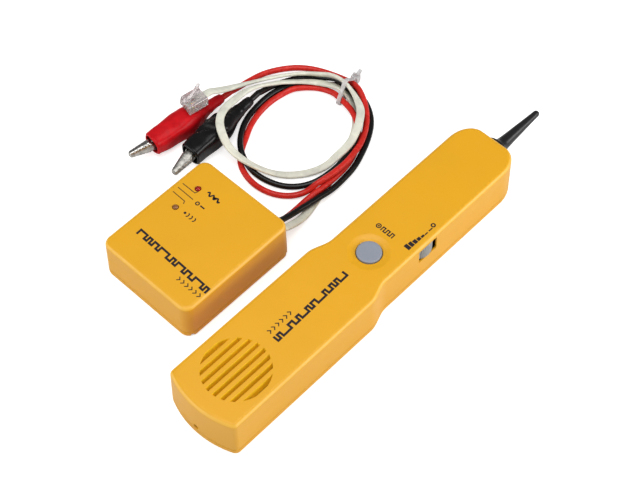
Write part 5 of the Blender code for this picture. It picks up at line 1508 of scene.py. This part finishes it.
# ================================================================ cable tie
def cable_tie():
    """Strap drawn tight round the leads, with a head at its outer side and a toothed tail."""
    along = Vector((-0.22, 0.975, 0.0)).normalized()
    across = Vector((0, 0, 1)).cross(along) * -1.0
    middle = Vector((*TIE_AT, 0))
    near = []
    for verts in lead_verts:
        for p in verts:
            offset = Vector(p) - middle
            if abs(offset.dot(along)) < 2.0 and abs(offset.dot(across)) < 14.0:
                near.append((offset.dot(across), max(p[2], 1.45)))
    half, thick, gap = 1.2, 0.9, 0.3
    # local x is across the leads, y along them, z up
    matrix = Matrix(((across.x, along.x, 0, middle.x), (across.y, along.y, 0, middle.y),
                     (0, 0, 1, 0), (0, 0, 0, 1)))
    # outermost lead point in each direction, with that direction
    path = []
    for k in range(72):
        angle = math.radians(-90.0 + 5.0 * k)
        c, s = math.cos(angle), math.sin(angle)
        path.append((*max(near, key=lambda q: q[0] * c + q[1] * s), c, s))
    section = round_rect(-half, half, 0.0, thick, 0.18, 3)
    rings = [[(x + (gap + b) * c, a, z + (gap + b) * s) for a, b in section]
             for x, z, c, s in path]
    loop = raw("tie_loop", loft(rings, closed=True), matrix)
    x, z, c, s = path[24]
    head_x, head_z = x + (gap + thick * 0.6) * c, z + (gap + thick * 0.6) * s - 0.9
    head = block(head_x - 0.3, head_x + 3.6, -2.3, 2.3, head_z - 2.4, head_z + 2.4, 0.45, 3)
    carve(loop, moved(head, matrix), operation="UNION")
    carve(loop, moved(block(head_x + 0.7, head_x + 2.4, -1.35, 1.35, head_z + 1.2, head_z + 4),
                      matrix))
    finish(loop, SENDER, "clear_nylon", "cable_tie", angle=34)
    rings = []
    for i in range(31):
        s = i / 30.0
        x = head_x + 2.0 + 5.6 * s
        z = head_z + 0.35 + 1.0 * s
        top = z + 0.30 + 0.14 * (i % 2)
        wide = 1.15 - 0.35 * max(0.0, s - 0.85) / 0.15
        rings.append([(x, -wide, z - 0.42), (x, wide, z - 0.42), (x, wide, top), (x, -wide, top)])
    add("tie_tail", loft(rings), SENDER, "clear_nylon", matrix=matrix, angle=34)


cable_tie()

# ================================================================ carried-over CAD nodes
slots = {s["node"]: s.get("material_slot") for s in frame["record"]["subparts"]}
BEVELLED = ("battery_case", "black_plastic", "board_green", "yellow_shell", "steel")
for name, obj in nodes.items():
    if obj.hide_render:
        continue
    obj.data.materials.clear()
    obj.data.materials.append(battery_y if name == "tx_battery" else mats[slots[name]])
    weld = obj.modifiers.new("weld", "WELD")
    weld.merge_threshold = 2e-6
    if slots[name] in BEVELLED and "screw" not in name:
        bevel = obj.modifiers.new("soft_edges", "BEVEL")
        bevel.width = 0.00012
        bevel.segments = 2
        bevel.limit_method = "ANGLE"
        bevel.angle_limit = math.radians(40)


# ================================================================ floor, light, camera (metres)
def studio_floor():
    """White floor that looks brighter to the camera than it lights the objects."""
    half = 2.4
    mesh = bpy.data.meshes.new("floor")
    corners = [(x, y, 0) for x, y in rectangle(-half, half, -half, half)]
    mesh.from_pydata(corners, [], [(0, 1, 2, 3)])
    floor = link_new("floor", mesh)
    floor.location = (0, 0, -0.0001)
    mat = new_shader("studio_sweep")
    drift = mat.noise(mat.coords(), scale=0.006, detail=3.0)
    camera_ray = mat.node("LightPath", {}).outputs["Is Camera Ray"]
    mat.set({"Base Color": mat.ramp(drift, (0.80, 0.80, 0.80), (0.83, 0.83, 0.83)),
             "Roughness": 0.85, "Specular IOR Level": 0.1, "Emission Color": (1, 1, 1),
             "Emission Strength": mat.span(camera_ray, 0.0, 0.62)})
    floor.data.materials.append(mat.owner)


def studio_world():
    """White background, dimmer as a light than it looks."""
    scene.world = bpy.data.worlds.new("studio")
    sky = Shader(scene.world, surface="Background")
    camera_ray = sky.node("LightPath", {}).outputs["Is Camera Ray"]
    sky.set({"Color": (1.0, 1.0, 1.0), "Strength": sky.span(camera_ray, 0.24, 1.0)})


LIGHT_TARGET = (-0.04, 0.05, 0.0)


def area_light(name, at, size, power):
    light = bpy.data.lights.new(name, "AREA")
    light.shape = "RECTANGLE"
    light.size, light.size_y = size
    light.energy = power
    light.color = (1, 1, 1)
    obj = link_new(name, light)
    obj.location = at
    obj.rotation_mode = "QUATERNION"
    obj.rotation_quaternion = (Vector(LIGHT_TARGET) - Vector(at)).to_track_quat("-Z", "Y")


studio_floor()
studio_world()
area_light("overhead", at=(-0.10, 0.02, 1.15), size=(0.9, 0.9), power=7.4)
area_light("softbox_right", at=(0.33, -0.72, 0.36), size=(0.75, 0.45), power=5.2)
area_light("softbox_left", at=(-0.80, 0.42, 0.37), size=(0.75, 0.45), power=3.4)

lens_data = bpy.data.cameras.new("camera")
lens_data.sensor_width = 36.0
lens_data.lens = 92.707875
lens_data.clip_start, lens_data.clip_end = 0.01, 20.0
camera = link_new("camera", lens_data)
camera.location = (-0.38937, -0.30290, 0.71933)
camera.rotation_euler = (math.radians(34.326), 0.0, math.radians(-46.558))
scene.camera = camera
scene.view_settings.view_transform = "Standard"
